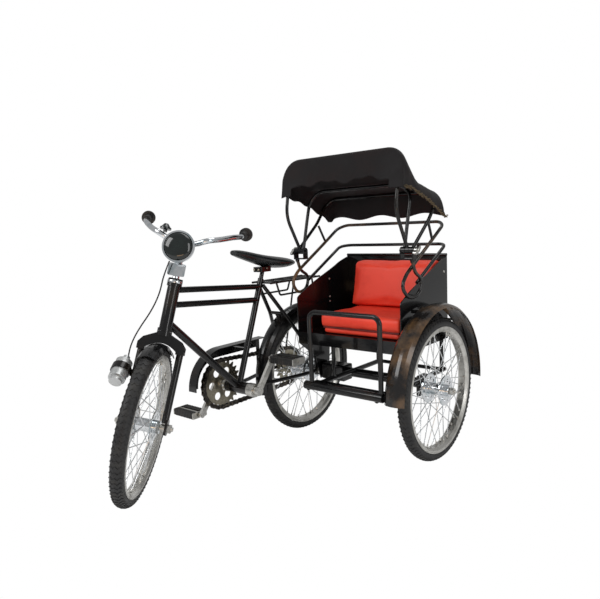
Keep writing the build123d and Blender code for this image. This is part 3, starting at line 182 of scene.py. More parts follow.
def wire_up(tree, parts, links, **made):
    """Adds nodes to a tree and links them. parts gives each node's kind, its settings and
    its inputs' values. A line of links reads: node.output > node.input."""
    for title, (kind, settings, values) in parts.items():
        node = made[title] = tree.nodes.new(kind)
        node.name = title
        for name, value in settings.items():
            setattr(node, name, value)
        for name, value in values.items():
            node.inputs[name].default_value = value
    for line in filter(None, map(str.strip, links.splitlines())):
        (start, output), (end, entry) = (side.strip().split(".") for side in line.split(">"))
        entry = int(entry) if entry.isdigit() else entry
        tree.links.new(made[start].outputs[output], made[end].inputs[entry])


def new_group(name, inputs, outputs, parts, links, kind="ShaderNodeTree"):
    """A node group with named sockets, filled by wire_up."""
    group = bpy.data.node_groups.new(name, kind)
    for socket_kind, title, value in inputs:
        socket = group.interface.new_socket(title, in_out="INPUT", socket_type=socket_kind)
        if value is not None:
            socket.default_value = value
    for socket_kind, title in outputs:
        group.interface.new_socket(title, in_out="OUTPUT", socket_type=socket_kind)
    given, result = group.nodes.new("NodeGroupInput"), group.nodes.new("NodeGroupOutput")
    wire_up(group, parts, links, given=given, result=result)
    return group

# %% Uneven finish: two colours and two roughnesses
uneven_finish = new_group(
    "uneven_finish",
    [(VECTOR, "Place", None), (COLOUR, "Main colour", (0.5, 0.5, 0.5, 1)),
     (COLOUR, "Other colour", (0.3, 0.3, 0.3, 1)), (FLOAT, "Scale", 30.0),
     (FLOAT, "From", 0.45), (FLOAT, "To", 0.7),
     (FLOAT, "Roughness low", 0.2), (FLOAT, "Roughness high", 0.4)],
    [(COLOUR, "Colour"), (FLOAT, "Roughness")],
    {
        "cloud": ("ShaderNodeTexNoise", {}, {"Detail": 5.0, "Roughness": 0.6}),
        "spread": ("ShaderNodeMapRange", {"interpolation_type": "SMOOTHSTEP"}, {}),
        "mix": ("ShaderNodeMix", {"data_type": "RGBA"}, {}),
        "rough": ("ShaderNodeMapRange", {}, {"From Min": 0.3, "From Max": 0.75}),
    },
    """
    given.Place > cloud.Vector
    given.Scale > cloud.Scale
    cloud.Fac > spread.Value
    given.From > spread.From Min
    given.To > spread.From Max
    spread.Result > mix.Factor
    given.Main colour > mix.A
    given.Other colour > mix.B
    cloud.Fac > rough.Value
    given.Roughness low > rough.To Min
    given.Roughness high > rough.To Max
    mix.Result > result.Colour
    rough.Result > result.Roughness
    """,
)

# %% Grain: cells and clouds as a height
grain = new_group(
    "grain",
    [(VECTOR, "Place", None), (FLOAT, "Cell scale", 400.0), (FLOAT, "Cloud scale", 60.0),
     (FLOAT, "Cell share", 0.6)],
    [(FLOAT, "Height")],
    {
        "cells": ("ShaderNodeTexVoronoi", {"feature": "SMOOTH_F1"}, {}),
        "cloud": ("ShaderNodeTexNoise", {}, {"Detail": 3.0}),
        "mix": ("ShaderNodeMix", {}, {}),
    },
    """
    given.Place > cells.Vector
    given.Cell scale > cells.Scale
    given.Place > cloud.Vector
    given.Cloud scale > cloud.Scale
    given.Cell share > mix.Factor
    cloud.Fac > mix.A
    cells.Distance > mix.B
    mix.Result > result.Height
    """,
)

# %% Weave: threads that cross, for cloth with a UV map
weave = new_group(
    "weave",
    [(VECTOR, "Place", None), (FLOAT, "Threads", 400.0)],
    [(FLOAT, "Height")],
    {
        "across": ("ShaderNodeTexWave", {"bands_direction": "X"}, {"Distortion": 0.4}),
        "along": ("ShaderNodeTexWave", {"bands_direction": "Y"}, {"Distortion": 0.4}),
        "both": ("ShaderNodeMath", {"operation": "MAXIMUM"}, {}),
    },
    """
    given.Place > across.Vector
    given.Threads > across.Scale
    given.Place > along.Vector
    given.Threads > along.Scale
    across.Fac > both.0
    along.Fac > both.1
    both.Value > result.Height
    """,
)
print("groups:", uneven_finish.name, grain.name, weave.name)

# %% [markdown]
# ## A finish
# `finish` makes one material from those groups: two colours, a range of roughness, the
# cloud's scale, a grain for the bumps, and whatever plain values the shader needs, such
# as metallic or a coat.

# %% The material maker
def finish(name, main, other, rough, scale=30.0, spread=(0.45, 0.7), bump=0.0,
           cells=400.0, cell_share=0.6, cloud=60.0, depth=0.0002, uv=False, **plain):
    """A material: uneven colour and roughness, with grain as its bumps."""
    material = bpy.data.materials.new(name)
    material.use_nodes = True
    shader = material.node_tree.nodes["Principled BSDF"]
    parts = {
        "place": ("ShaderNodeTexCoord", {}, {}),
        "finish": (
            "ShaderNodeGroup", {"node_tree": uneven_finish},
            {"Main colour": (*main, 1), "Other colour": (*other, 1), "Scale": scale,
             "From": spread[0], "To": spread[1],
             "Roughness low": rough[0], "Roughness high": rough[1]},
        ),
    }
    links = """
        place.Object > finish.Place
        finish.Colour > shader.Base Color
        finish.Roughness > shader.Roughness
    """
    if bump:
        texture, where, values = grain, "Object", {
            "Cell scale": cells, "Cloud scale": cloud, "Cell share": cell_share}
        if uv:
            texture, where, values = weave, "UV", {"Threads": cells}
        parts["texture"] = ("ShaderNodeGroup", {"node_tree": texture}, values)
        parts["relief"] = ("ShaderNodeBump", {}, {"Strength": bump, "Distance": depth})
        links += f"""
        place.{where} > texture.Place
        texture.Height > relief.Height
        relief.Normal > shader.Normal
        """
    wire_up(material.node_tree, parts, links, shader=shader)
    for socket, value in plain.items():
        shader.inputs[socket.replace("_", " ")].default_value = value
    return material

# %% [markdown]
# ## Paint and metals
# The rickshaw is brush-painted in thick gloss black. The side mudguard and the upper
# handrail get a second paint whose brown patches are a painted reflection of the warm
# brown round them. Chrome is nearly a mirror, zinc-plated nuts are duller, and the
# chainwheel has an olive, bronze-like film.

# %% Black paint
brushed = dict(bump=0.12, cells=120, cloud=45, cell_share=0.15, depth=0.0004,
               Coat_Roughness=0.06)
black_paint = finish(
    "black_gloss_paint", (0.005, 0.005, 0.0055), (0.018, 0.012, 0.008), (0.10, 0.22),
    scale=22, spread=(0.5, 0.8), Coat_Weight=0.22, Specular_IOR_Level=0.3, **brushed,
)
# Its brown second colour is a painted reflection of warm brown surroundings, laid in patches by
# noise.
warm_reflection_paint = finish(
    "bronzed_black_paint", (0.008, 0.007, 0.007), (0.13, 0.072, 0.032), (0.12, 0.24),
    scale=14, spread=(0.46, 0.68), Coat_Weight=0.3, Specular_IOR_Level=0.35, **brushed,
)

# %% Metals
chrome = finish(
    "chrome_plate", (0.72, 0.74, 0.76), (0.46, 0.53, 0.56), (0.07, 0.20), scale=45,
    Metallic=1.0,
)
bright_wire = finish(
    "bright_spoke_wire", (0.78, 0.79, 0.80), (0.62, 0.66, 0.68), (0.12, 0.28), scale=90,
    Metallic=1.0,
)
rim_alloy = finish(
    "rim_alloy", (0.56, 0.55, 0.52), (0.36, 0.35, 0.32), (0.22, 0.38), scale=35,
    bump=0.08, cells=300, depth=0.0001, Metallic=1.0,
)
zinc = finish(
    "zinc_plated_steel", (0.62, 0.61, 0.58), (0.42, 0.41, 0.37), (0.22, 0.45), scale=70,
    bump=0.1, cells=420, depth=0.0001, Metallic=1.0,
)
bronzed_steel = finish(
    "bronzed_steel", (0.34, 0.31, 0.24), (0.16, 0.145, 0.11), (0.22, 0.42), scale=40,
    bump=0.1, cells=420, depth=0.0001, Metallic=1.0,
)
chain_steel = finish(
    "oiled_chain_steel", (0.055, 0.050, 0.045), (0.20, 0.17, 0.13), (0.22, 0.42),
    scale=150, spread=(0.5, 0.68), Metallic=1.0,
)
cast_alloy = finish(
    "cast_alloy", (0.56, 0.57, 0.57), (0.40, 0.41, 0.41), (0.35, 0.52), scale=60,
    bump=0.25, cells=900, cloud=500, Metallic=0.85,
)
brass = finish(
    "brass", (0.62, 0.38, 0.12), (0.42, 0.24, 0.08), (0.22, 0.42), scale=80, Metallic=1.0
)

# %% [markdown]
# ## Rubber, vinyl, leather, glass and cloth
# The tyres are dusty black rubber and the cushions a red vinyl with a very fine grain.
# The saddle is black leather with a shine, and the hood is a thin dark cloth with a hint
# of brown where the light rakes over it.

# %% Soft and dark finishes
tyre_rubber = finish(
    "tyre_rubber", (0.009, 0.009, 0.010), (0.028, 0.027, 0.025), (0.50, 0.72), scale=60,
    bump=0.3, cells=700, cloud=220,
)
moulded_rubber = finish(
    "moulded_rubber", (0.010, 0.010, 0.010), (0.026, 0.022, 0.019), (0.35, 0.55),
    scale=60, bump=0.25, cells=600, cloud=200,
)
saddle_leather = finish(
    "saddle_leather", (0.006, 0.008, 0.009), (0.014, 0.017, 0.018), (0.22, 0.42),
    scale=26, bump=0.3, cells=520, cloud=80, depth=0.00025, Coat_Weight=0.25,
    Coat_Roughness=0.2,
)
red_vinyl = finish(
    "red_vinyl", (0.92, 0.066, 0.032), (0.82, 0.048, 0.024), (0.40, 0.52), scale=24,
    spread=(0.4, 0.75), bump=0.25, cells=560, cell_share=0.7,
    Coat_Weight=0.05, Coat_Roughness=0.3, Specular_IOR_Level=0.35,
)
# The dark red in the groove between the seat's pad and band is painted shade of that recess.
groove_shade_vinyl = finish(
    "shadow_red_vinyl", (0.16, 0.012, 0.008), (0.09, 0.008, 0.006), (0.4, 0.6), scale=40,
    bump=0.2, cells=560,
)
hood_cloth = finish(
    "hood_cloth", (0.0050, 0.0038, 0.0044), (0.0125, 0.0080, 0.0080), (0.62, 0.85),
    scale=18, spread=(0.4, 0.7), bump=0.35, cells=190, uv=True,
    Sheen_Weight=0.04, Sheen_Roughness=0.45, Specular_IOR_Level=0.25,
)
lamp_glass = finish(
    "lamp_glass", (0.003, 0.005, 0.005), (0.008, 0.013, 0.012), (0.05, 0.14),
    spread=(0.35, 0.75), bump=0.03, cells=60, depth=0.0005, Coat_Weight=0.35,
    Coat_Roughness=0.03, IOR=1.45,
)
gold_lacing = finish(
    "gold_lacing", (0.11, 0.075, 0.030), (0.045, 0.032, 0.018), (0.45, 0.7), scale=220,
    bump=0.3, cells=1500,
)
wire_sheath = finish(
    "wire_sheath", (0.014, 0.014, 0.015), (0.04, 0.04, 0.04), (0.3, 0.5), scale=200,
    bump=0.1, cells=900, depth=0.0001,
)
print("finishes:", len(bpy.data.materials))

# %% [markdown]
# ## Dressing the solids that keep their shape
# Tubes, axles, hubs and panels already have the right shape, so each only gets its
# finish. A solid's mesh comes in as loose triangles with smooth normals of its own.

# %% Finishes on the solids
dress = {
    black_paint: (
        "fork seat_post dynamo_bracket front_mudguard bike_frame chain_guard "
        "rear_mudguard rear_carrier carriage_frame axle_clamp footboard grab_rail "
        "left_panel right_panel back_panel hood_bow_front hood_bow_middle hood_bow_rear "
        "rail_brackets seat_pan lower_handrail hood_knuckles"
    ),
    # The paint with the painted brown reflection goes on the side mudguard and the upper
    # handrail.
    warm_reflection_paint: "side_mudguard upper_handrail",
    chrome: "handlebar lamp lamp_bracket front_hub rear_hub side_hub",
    bright_wire: "front_spokes rear_spokes side_spokes",
    rim_alloy: "front_rim rear_rim side_rim",
    zinc: "front_axle rear_axle side_axle bracket_cups crankset left_pedal right_pedal",
    bronzed_steel: "chainring rear_sprocket",
    chain_steel: "chain",
    cast_alloy: "dynamo",
    lamp_glass: "lamp_glass bell",
    moulded_rubber: "grips left_pedal_blocks right_pedal_blocks",
    tyre_rubber: "front_tyre rear_tyre side_tyre",
    saddle_leather: "saddle",
    red_vinyl: "seat_cushion back_cushion",
    hood_cloth: "hood_fabric",
    wire_sheath: "lamp_wire",
}
for material, names in dress.items():
    for name in names.split():
        node = nodes[name]
        node.data.materials.clear()
        node.data.materials.append(material)
undressed = [n for n in nodes if not nodes[n].data.materials]
print("undressed:", undressed)

# %% [markdown]
# ## Repeating with Geometry Nodes
# A rickshaw repeats small things by the hundred: tread bars, nipples, chain links, teeth
# and screws. Each repeat is one Geometry Nodes tree. It sets copies of a small shape on
# the points of a mesh, turned by an angle that each point carries, then realises the
# copies and gives them a material. The result is made a plain mesh for each body.

# %% The tree that repeats a shape on points
GEOMETRY = "NodeSocketGeometry"
repeat_tree = new_group(
    "repeat_on_points",
    [(GEOMETRY, "Geometry", None), ("NodeSocketObject", "Shape", None),
     ("NodeSocketMaterial", "Finish", None)],
    [(GEOMETRY, "Geometry")],
    {
        "shape": ("GeometryNodeObjectInfo", {}, {}),
        "turn": ("GeometryNodeInputNamedAttribute", {"data_type": "FLOAT_VECTOR"},
                 {"Name": "turn"}),
        "angles": ("FunctionNodeEulerToRotation", {}, {}),
        "copies": ("GeometryNodeInstanceOnPoints", {}, {}),
        "real": ("GeometryNodeRealizeInstances", {}, {}),
        "dressed": ("GeometryNodeSetMaterial", {}, {}),
    },
    """
    given.Shape > shape.Object
    given.Geometry > copies.Points
    shape.Geometry > copies.Instance
    turn.Attribute > angles.Euler
    angles.Rotation > copies.Rotation
    copies.Instances > real.Geometry
    real.Geometry > dressed.Geometry
    given.Finish > dressed.Material
    dressed.Geometry > result.Geometry
    """,
    kind="GeometryNodeTree",
)

# %% Using it
def repeat(name, places, shape, material, angle=35):
    """Copies of a shape at places. Each place is a 4x4 matrix."""
    mesh = bpy.data.meshes.new(name)
    mesh.from_pydata([tuple(m.translation) for m in places], [], [])
    turns = mesh.attributes.new("turn", "FLOAT_VECTOR", "POINT")
    for number, matrix in enumerate(places):
        turns.data[number].vector = matrix.to_euler()
    piece = bpy.data.objects.new(name, mesh)
    scene.collection.objects.link(piece)
    modifier = piece.modifiers.new("repeat", "NODES")
    modifier.node_group = repeat_tree
    inputs = {s.name: s.identifier for s in repeat_tree.interface.items_tree
              if s.in_out == "INPUT"}
    modifier[inputs["Shape"]] = shape
    modifier[inputs["Finish"]] = material
    settle(piece)
    piece.data.shade_smooth()
    piece.data.set_sharp_from_angle(angle=radians(angle))
    return piece


def pattern(name, points, faces):
    """A small shape that is only copied, never shown."""
    mesh = bpy.data.meshes.new(name)
    mesh.from_pydata([tuple(p) for p in points], [], faces)
    shape = bpy.data.objects.new(name, mesh)
    return face_out(shape)


def frame_at(place, x_way, y_way, z_way):
    """A matrix with its origin at a place and its axes along three ways."""
    matrix = Matrix((x_way, y_way, z_way)).transposed().to_4x4()
    matrix.translation = place
    return matrix


def looking(place, outward):
    """A matrix whose z axis points outward."""
    turned = outward.to_track_quat("Z", "Y").to_matrix().to_4x4()
    turned.translation = place
    return turned

# %% [markdown]
# ## Small shapes to repeat
# A dome-headed screw and a spoke nipple are each a profile turned about the z axis with
# few sides, because hundreds of them are drawn.

# %% Turned profiles
def turned_profile(name, profile, sides=12):
    """A pattern from (radius, height) pairs in millimetres, closed at both ends."""
    points = [
        (r * MM * cos(2 * pi * s / sides), r * MM * sin(2 * pi * s / sides), h * MM)
        for r, h in profile for s in range(sides)
    ]
    faces = grid_faces(len(profile), sides, loop_columns=True)
    faces.append(tuple(range(sides)))
    faces.append(tuple(reversed(range(sides * (len(profile) - 1), sides * len(profile)))))
    return pattern(name, points, faces)


screw_shape = turned_profile(
    "dome_screw_pattern", [(2.6, -0.4), (2.6, 0.3), (2.2, 1.1), (1.2, 1.6), (0.4, 1.7)]
)
nipple_shape = turned_profile(
    "nipple_pattern", [(1.35, -5.0), (1.5, -4.6), (1.5, -0.6), (2.1, 0.2)], sides=8
)

# %% [markdown]
# ## Wheels
# Each wheel has its own frame: its centre, its axle and two ways across it. The tyre is
# one section swept round the axle. Its crown carries zigzag bars, each a bent bar that
# follows the crown, copied round the tyre. A rounder section replaces the faceted one.

# %% Each wheel's frame
LEFT = Vector((1, 0, 0))
wheels = {
    "front": (middle("front_rim"), steer_left),
    "rear": (middle("rear_rim"), LEFT),
    "side": (middle("side_rim"), LEFT),
}
TYRE_RADIUS = 135.0
TYRE_HALF = 11.2
TYRE_WAIST = 124.2
TREAD_HEIGHT = 1.1


def wheel_ways(axle):
    """A wheel's backward and upward ways, square to its axle."""
    back = Vector((-axle.y, axle.x, 0)).normalized()
    return back, axle.cross(back).normalized()


def on_wheel(place, axle, angle, radius, across):
    """A place on a wheel: an angle from the rear through the top, a radius, and across."""
    back, up = wheel_ways(axle)
    out = back * cos(angle) + up * sin(angle)
    return place + (out * radius + axle * across) * MM


def crown(turn_angle, lift=0.0):
    """(across, radius) on the tyre's round section; the angle is 0 at the crown."""
    rise = TYRE_RADIUS - TREAD_HEIGHT - TYRE_WAIST + lift
    return (TYRE_HALF + lift) * sin(turn_angle), TYRE_WAIST + rise * cos(turn_angle)

# %% Tyres
SECTION_STEPS = 20
ROUND_STEPS = 128
CROWN_ARC = radians(100)
TYRE_FOOT = [(10.2, 120.2), (0.0, 119.4), (-10.2, 120.2)]  # (across, radius) in the rim
for wheel, (place, axle) in wheels.items():
    section = [
        crown(CROWN_ARC * (2 * s / SECTION_STEPS - 1)) for s in range(SECTION_STEPS + 1)
    ]
    section += TYRE_FOOT
    points = [
        on_wheel(place, axle, 2 * pi * step / ROUND_STEPS, radius, across)
        for step in range(ROUND_STEPS) for across, radius in section
    ]
    faces = grid_faces(ROUND_STEPS, len(section), loop_rows=True, loop_columns=True)
    tyre = new_piece(f"{wheel}_tyre_casing", points, faces, tyre_rubber)
    face_out(tyre)
    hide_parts(f"{wheel}_tyre")
    finish_piece(tyre, f"{wheel}_wheel")

# %% Tread bars
TREAD_COUNT = 84
BAR_PATH = [(-62, 2.0), (-42, -2.0), (-21, 2.0), (0, -2.0), (21, 2.0), (42, -2.0), (62, 2.0)]
BAR_HALF_WIDTH = 1.5
BAR_SINK, BAR_TOP = 0.3, 0.7    # how deep its foot sits, its top's share of the width


def tread_bar():
    """One zigzag bar across the crown, in a frame whose x is outward and z the axle."""
    points = []
    for turn_angle, shift in BAR_PATH:
        for side in (-1, -BAR_TOP, BAR_TOP, 1):
            lift = TREAD_HEIGHT if abs(side) == BAR_TOP else -BAR_SINK
            across, radius = crown(radians(turn_angle), lift)
            points.append((radius * MM, (shift + side * BAR_HALF_WIDTH) * MM, across * MM))
    faces = grid_faces(len(BAR_PATH), 4)
    return pattern("tread_bar_pattern", points, faces)


bar_shape = tread_bar()
for wheel, (place, axle) in wheels.items():
    back, up = wheel_ways(axle)
    places = []
    for number in range(TREAD_COUNT):
        angle = 2 * pi * number / TREAD_COUNT
        out = back * cos(angle) + up * sin(angle)
        places.append(frame_at(place, out, axle.cross(out), axle))
    tread = repeat(f"{wheel}_tread", places, bar_shape, tyre_rubber)
    finish_piece(tread, f"{wheel}_wheel")

# %% [markdown]
# A nipple stands at each spoke's outer end, where it screws into the rim.

# %% Spoke nipples
SPOKES_PER_SIDE = 20
SPOKE_SWEEP = radians(41.0)
SPOKE_START, SPOKE_END = 28.6, 109.0      # radii of a spoke's ends
FLANGE_OFFSET, FLANGE_STAND, RIM_OFFSET = 17.0, 1.5, 3.0
for wheel, (place, axle) in wheels.items():
    places = []
    for side in (-1, 1):
        for number in range(SPOKES_PER_SIDE):
            lean_way = 1 if number % 2 else -1
            start = radians((number + side / 4) * 360 / SPOKES_PER_SIDE)
            end = start + lean_way * SPOKE_SWEEP
            flange = side * (FLANGE_OFFSET + lean_way * FLANGE_STAND)
            inner = on_wheel(place, axle, start, SPOKE_START, flange)
            outer = on_wheel(place, axle, end, SPOKE_END, side * RIM_OFFSET)
            places.append(looking(outer, (outer - inner).normalized()))
    nipples = repeat(f"{wheel}_nipples", places, nipple_shape, zinc)
    finish_piece(nipples, f"{wheel}_wheel")

# %% [markdown]
# ## The chain
# A bush roller chain is a row of pins. Between one pair of pins sit two inner plates and
# between the next pair two outer ones, each plate a figure of eight. The chain's own
# solid only has the loop's outline, so real links replace it, laid along the same loop:
# a straight run, round the sprocket, a run back and round the chainwheel.

# %% The chain's loop
CHAIN_PITCH = 12.7
RING_TEETH, SPROCKET_TEETH = 24, 20
CHAIN_LINE = -50.0
BRACKET = (266.5, 140.7)
REAR_AXLE = (472.0, 135.0)
ring_radius = CHAIN_PITCH / (2 * sin(pi / RING_TEETH))
sprocket_radius = CHAIN_PITCH / (2 * sin(pi / SPROCKET_TEETH))
span = hypot(REAR_AXLE[0] - BRACKET[0], REAR_AXLE[1] - BRACKET[1])
tilt = atan2(REAR_AXLE[1] - BRACKET[1], REAR_AXLE[0] - BRACKET[0])
run_tilt = asin((ring_radius - sprocket_radius) / span)
run_length = span * cos(run_tilt)
ring_wrap = ring_radius * (pi + 2 * run_tilt)
sprocket_wrap = sprocket_radius * (pi - 2 * run_tilt)
chain_length = 2 * run_length + ring_wrap + sprocket_wrap
top_angle = pi / 2 + tilt - run_tilt
bottom_angle = -pi / 2 + tilt + run_tilt
link_count = round(chain_length / CHAIN_PITCH)


def chain_place(distance):
    """(back, up) on the chain's line, a distance from the top run's front end."""
    distance %= chain_length
    runs = (
        (BRACKET, ring_radius, top_angle, run_length, True),
        (REAR_AXLE, sprocket_radius, top_angle, sprocket_wrap, False),
        (REAR_AXLE, sprocket_radius, bottom_angle, run_length, True),
        (BRACKET, ring_radius, bottom_angle, ring_wrap, False),
    )
    for centre, radius, angle, length, straight in runs:
        if distance <= length:
            break
        distance -= length
    turned = angle if straight else angle - distance / radius
    back = centre[0] + radius * cos(turned)
    up = centre[1] + radius * sin(turned)
    if straight:
        back += distance * sin(angle)
        up -= distance * cos(angle)
    return back, up


print("links:", link_count, "of", round(chain_length / link_count, 2), "mm")

# %% Link shapes
def plate_outline(pitch, end=4.7, waist=3.3, steps=6):
    """The figure of eight of a link plate, in its own plane."""
    points = []
    for centre, first in ((pitch / 2, -70), (-pitch / 2, 110)):
        for step in range(steps + 1):
            angle = radians(first + 140 * step / steps)
            points.append((centre + end * cos(angle), end * sin(angle)))
        points.append((0, waist if centre > 0 else -waist))
    return points


def link_shape(name, pitch, plate_at, plate_wall, pin_half, roller_radius):
    """Two plates, and what joins them: z is across the chain, x along it."""
    points, faces = [], []

    def prism(outline, low, high):
        faces.extend(prism_faces(len(outline), len(points)))
        points.extend((x * MM, y * MM, z * MM) for z in (low, high) for x, y in outline)

    outline = plate_outline(pitch)
    for way in (-1, 1):
        edges = sorted((way * plate_at, way * (plate_at + plate_wall)))
        prism(outline, *edges)
    for centre in (-pitch / 2, pitch / 2):
        ring = [
            (centre + roller_radius * cos(pi * s / 5), roller_radius * sin(pi * s / 5))
            for s in range(10)
        ]
        prism(ring, -pin_half, pin_half)
    return pattern(name, points, faces)


pitch = chain_length / link_count
inner_link = link_shape("inner_link_pattern", pitch, plate_at=2.0, plate_wall=0.9,
                        pin_half=1.9, roller_radius=3.6)
outer_link = link_shape("outer_link_pattern", pitch, plate_at=3.0, plate_wall=0.8,
                        pin_half=4.0, roller_radius=1.9)

# %% Links along the loop
link_places = {0: [], 1: []}
for link_number in range(link_count):
    start = Vector(chain_place(link_number * pitch))
    end = Vector(chain_place((link_number + 1) * pitch))
    centre = (start + end) / 2
    along = (end - start).normalized()
    x_way = Vector((0, along.x, along.y))
    place = spot(CHAIN_LINE, centre.x, centre.y)
    link_places[link_number % 2].append(frame_at(place, x_way, LEFT.cross(x_way), LEFT))
links = [
    repeat("chain_inner_links", link_places[0], inner_link, chain_steel),
    repeat("chain_outer_links", link_places[1], outer_link, chain_steel),
]
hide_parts("chain")
for piece in links:
    finish_piece(piece, "root")

# %% [markdown]
# The chainwheel and the sprocket get their teeth: one tooth for each roller, thin at the
# tip, standing between two rollers.

# %% Teeth
def tooth_shape(reach):
    """A tooth from the disc's edge outward: x is outward, z across."""
    outline = [(-0.5, 3.6), (2.0, 3.2), (reach - 1.6, 1.5), (reach, 0.6)]
    outline += [(x, -y) for x, y in reversed(outline)]
    points = [(x * MM, y * MM, z * MM) for z in (-1.0, 1.0) for x, y in outline]
    return pattern("tooth_pattern", points, prism_faces(len(outline)))


TOOTH_REACH = 7.6    # outward from the disc's edge
DISC_SHORT = 5.4     # how far that edge is inside the chain's line
tooth = tooth_shape(TOOTH_REACH)
for name, centre, radius, teeth, body in (
    ("chainring_teeth", BRACKET, ring_radius, RING_TEETH, "crank"),
    ("sprocket_teeth", REAR_AXLE, sprocket_radius, SPROCKET_TEETH, "rear_wheel"),
):
    places = []
    for number in range(teeth):
        angle = top_angle + 2 * pi * (number + 0.5) / teeth
        out = Vector((0, cos(angle), sin(angle)))
        start = spot(CHAIN_LINE, *centre) + out * (radius - DISC_SHORT) * MM
        places.append(frame_at(start, out, LEFT.cross(out), LEFT))
    teeth_piece = repeat(name, places, tooth, bronzed_steel)
    finish_piece(teeth_piece, body)

# %% [markdown]
# ## Cushions
# A vinyl cushion is foam under a tight skin: it bulges in the middle and pulls in at its
# corners. Each starts as a slightly small block that is remeshed into even cells, and
# Blender's cloth is blown up a little from inside. A cap keeps any point from moving too
# far, and the underside stays flat where it rests.

# %% A block from an outline
def block(name, outline, low, high, material):
    """A closed block: its outline is (back, up) in the bicycle's measure, low to high
    is its way across."""
    points = [spot(x, y, z) for x in (low, high) for y, z in outline]
    return face_out(new_piece(name, points, prism_faces(len(outline)), material, smooth=False))


def rounded(outline, radius, steps=5):
    """An outline with its corners rounded."""
    result = []
    count = len(outline)
    for i in range(count):
        corner = Vector(outline[i])
        before = (Vector(outline[i - 1]) - corner).normalized()
        after = (Vector(outline[(i + 1) % count]) - corner).normalized()
        start, end = corner + before * radius, corner + after * radius
        for step in range(steps + 1):
            t = step / steps
            result.append(tuple(start * (1 - t) ** 2 + corner * 2 * t * (1 - t) + end * t ** 2))
    return result

# %% Blowing a block up into a cushion
VOXEL = 0.0042
PRESSURE, CLOTH_FRAMES = 4.0, 20


def blow_up(piece, cap, low, high):
    """Remeshes a block and inflates it as cloth. No point moves more than cap, or leaves
    the box from low to high; all are in metres."""
    remesh = piece.modifiers.new("even_cells", "REMESH")
    remesh.mode = "VOXEL"
    remesh.voxel_size = VOXEL
    settle(piece)
    start = [v.co.copy() for v in piece.data.vertices]
    cloth = piece.modifiers.new("foam_pressure", "CLOTH")
    cloth.settings.use_pressure = True
    cloth.settings.uniform_pressure_force = PRESSURE
    cloth.settings.effector_weights.gravity = 0.0
    cloth.point_cache.frame_end = CLOTH_FRAMES
    for step in range(1, CLOTH_FRAMES + 1):
        scene.frame_set(step)
    settle(piece)
    scene.frame_set(1)
    for vertex, was in zip(piece.data.vertices, start):
        move = vertex.co - was
        if move.length > cap:
            move *= cap / move.length
        where = was + move
        vertex.co = [min(max(c, lo), hi) for c, lo, hi in zip(where, low, high)]
    even = piece.modifiers.new("even_skin", "SMOOTH")
    even.factor = 0.5
    even.iterations = 4
    finer = piece.modifiers.new("finer", "SUBSURF")
    finer.levels = finer.render_levels = 1
    settle(piece)
    piece.data.shade_smooth()
    return piece

# %% The seat: a rolled top pad over a narrow lower band, with a groove between
SEAT_LEFT, SEAT_RIGHT = 293.4, 108.6
pad_outline = rounded([(392, 251.4), (392, 276), (565, 276), (565, 251.4)], 7.0)
seat_pad = block("seat_pad", pad_outline, SEAT_RIGHT + 1, SEAT_LEFT - 1, red_vinyl)
blow_up(seat_pad, 0.0025, spot(SEAT_RIGHT, 390.2, 250.6), spot(SEAT_LEFT, 566, 277.6))
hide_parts("seat_cushion")

band_outline = rounded([(396, 237.6), (396, 248.6), (562, 248.6), (562, 237.6)], 3.0)
seat_band = block("seat_lower_band", band_outline, SEAT_RIGHT + 3, SEAT_LEFT - 3, red_vinyl)
blow_up(seat_band, 0.003, spot(SEAT_RIGHT, 392.0, 237.4), spot(SEAT_LEFT, 566, 249.8))

# A dark block fills the groove with painted shade.
groove_outline = [(399, 248.4), (399, 252.0), (560, 252.0), (560, 248.4)]
seat_groove = block("seat_groove", groove_outline, SEAT_RIGHT + 6, SEAT_LEFT - 6, groove_shade_vinyl)

# %% The backrest: a leaning wedge
BACK_LEFT, BACK_RIGHT = 289.8, 104.2
back_outline = rounded([(508, 278.6), (527, 366), (537, 373), (567, 373), (567, 278.6)], 4.0)
backrest = block("backrest_pad", back_outline, BACK_RIGHT + 0.4, BACK_LEFT - 0.4, red_vinyl)
blow_up(backrest, 0.003, spot(BACK_RIGHT, 505, 278.2), spot(BACK_LEFT, 568.2, 374.6))
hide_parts("back_cushion")
for pad in (seat_pad, seat_band, seat_groove, backrest):
    finish_piece(pad, "root")

# %% [markdown]
# ## The hood
# The hood is one thin cloth laid over three bows. A short flap hangs before the front
# bow, the cloth turns over that bow, falls steeply to the middle bow, runs nearly level
# to the rear bow and hangs down behind. Each side hangs as a skirt. The cloth is a grid:
# rows run from the flap's hem to the rear hem, and each row goes up one skirt, over the
# top and down the other. Folds are free between the bows and held close at them.

# %% The hood's rows
CARRIAGE_MIDDLE = 176.5
CLOTH_HALF = 136.7
FRONT_BOW, BOW_COVER = (392.0, 577.0), 4.5
roof_rows = [
    (FRONT_BOW[0] + BOW_COVER * cos(radians(a)), FRONT_BOW[1] + BOW_COVER * sin(radians(a)))
    for a in (180, 160, 135, 100, 65)
]
ROLL_ROWS = len(roof_rows)
ROLL_END, MIDDLE_BOW, REAR_BOW = 397, 447, 523    # how far back the cloth is held
VALANCE_ROWS, VALANCE_DROP, VALANCE_SIDE = 9, 46.0, 25.0
for start, end, count in (
    ((397.5, 580.2), (446.5, 526.0), 12),
    ((449.5, 524.4), (521.0, 511.8), 12),
):
    roof_rows += [
        (start[0] + (end[0] - start[0]) * t / count, start[1] + (end[1] - start[1]) * t / count)
        for t in range(count + 1)
    ]
REAR_DROP = [(525, 511.6), (528.5, 509), (530, 503), (529.5, 496), (531, 486), (534, 476),
             (537, 467), (540, 458)]
roof_rows += REAR_DROP
skirt_line = [(370, 511.5), (404, 509), (465, 489), (533, 457.5), (545, 457)]


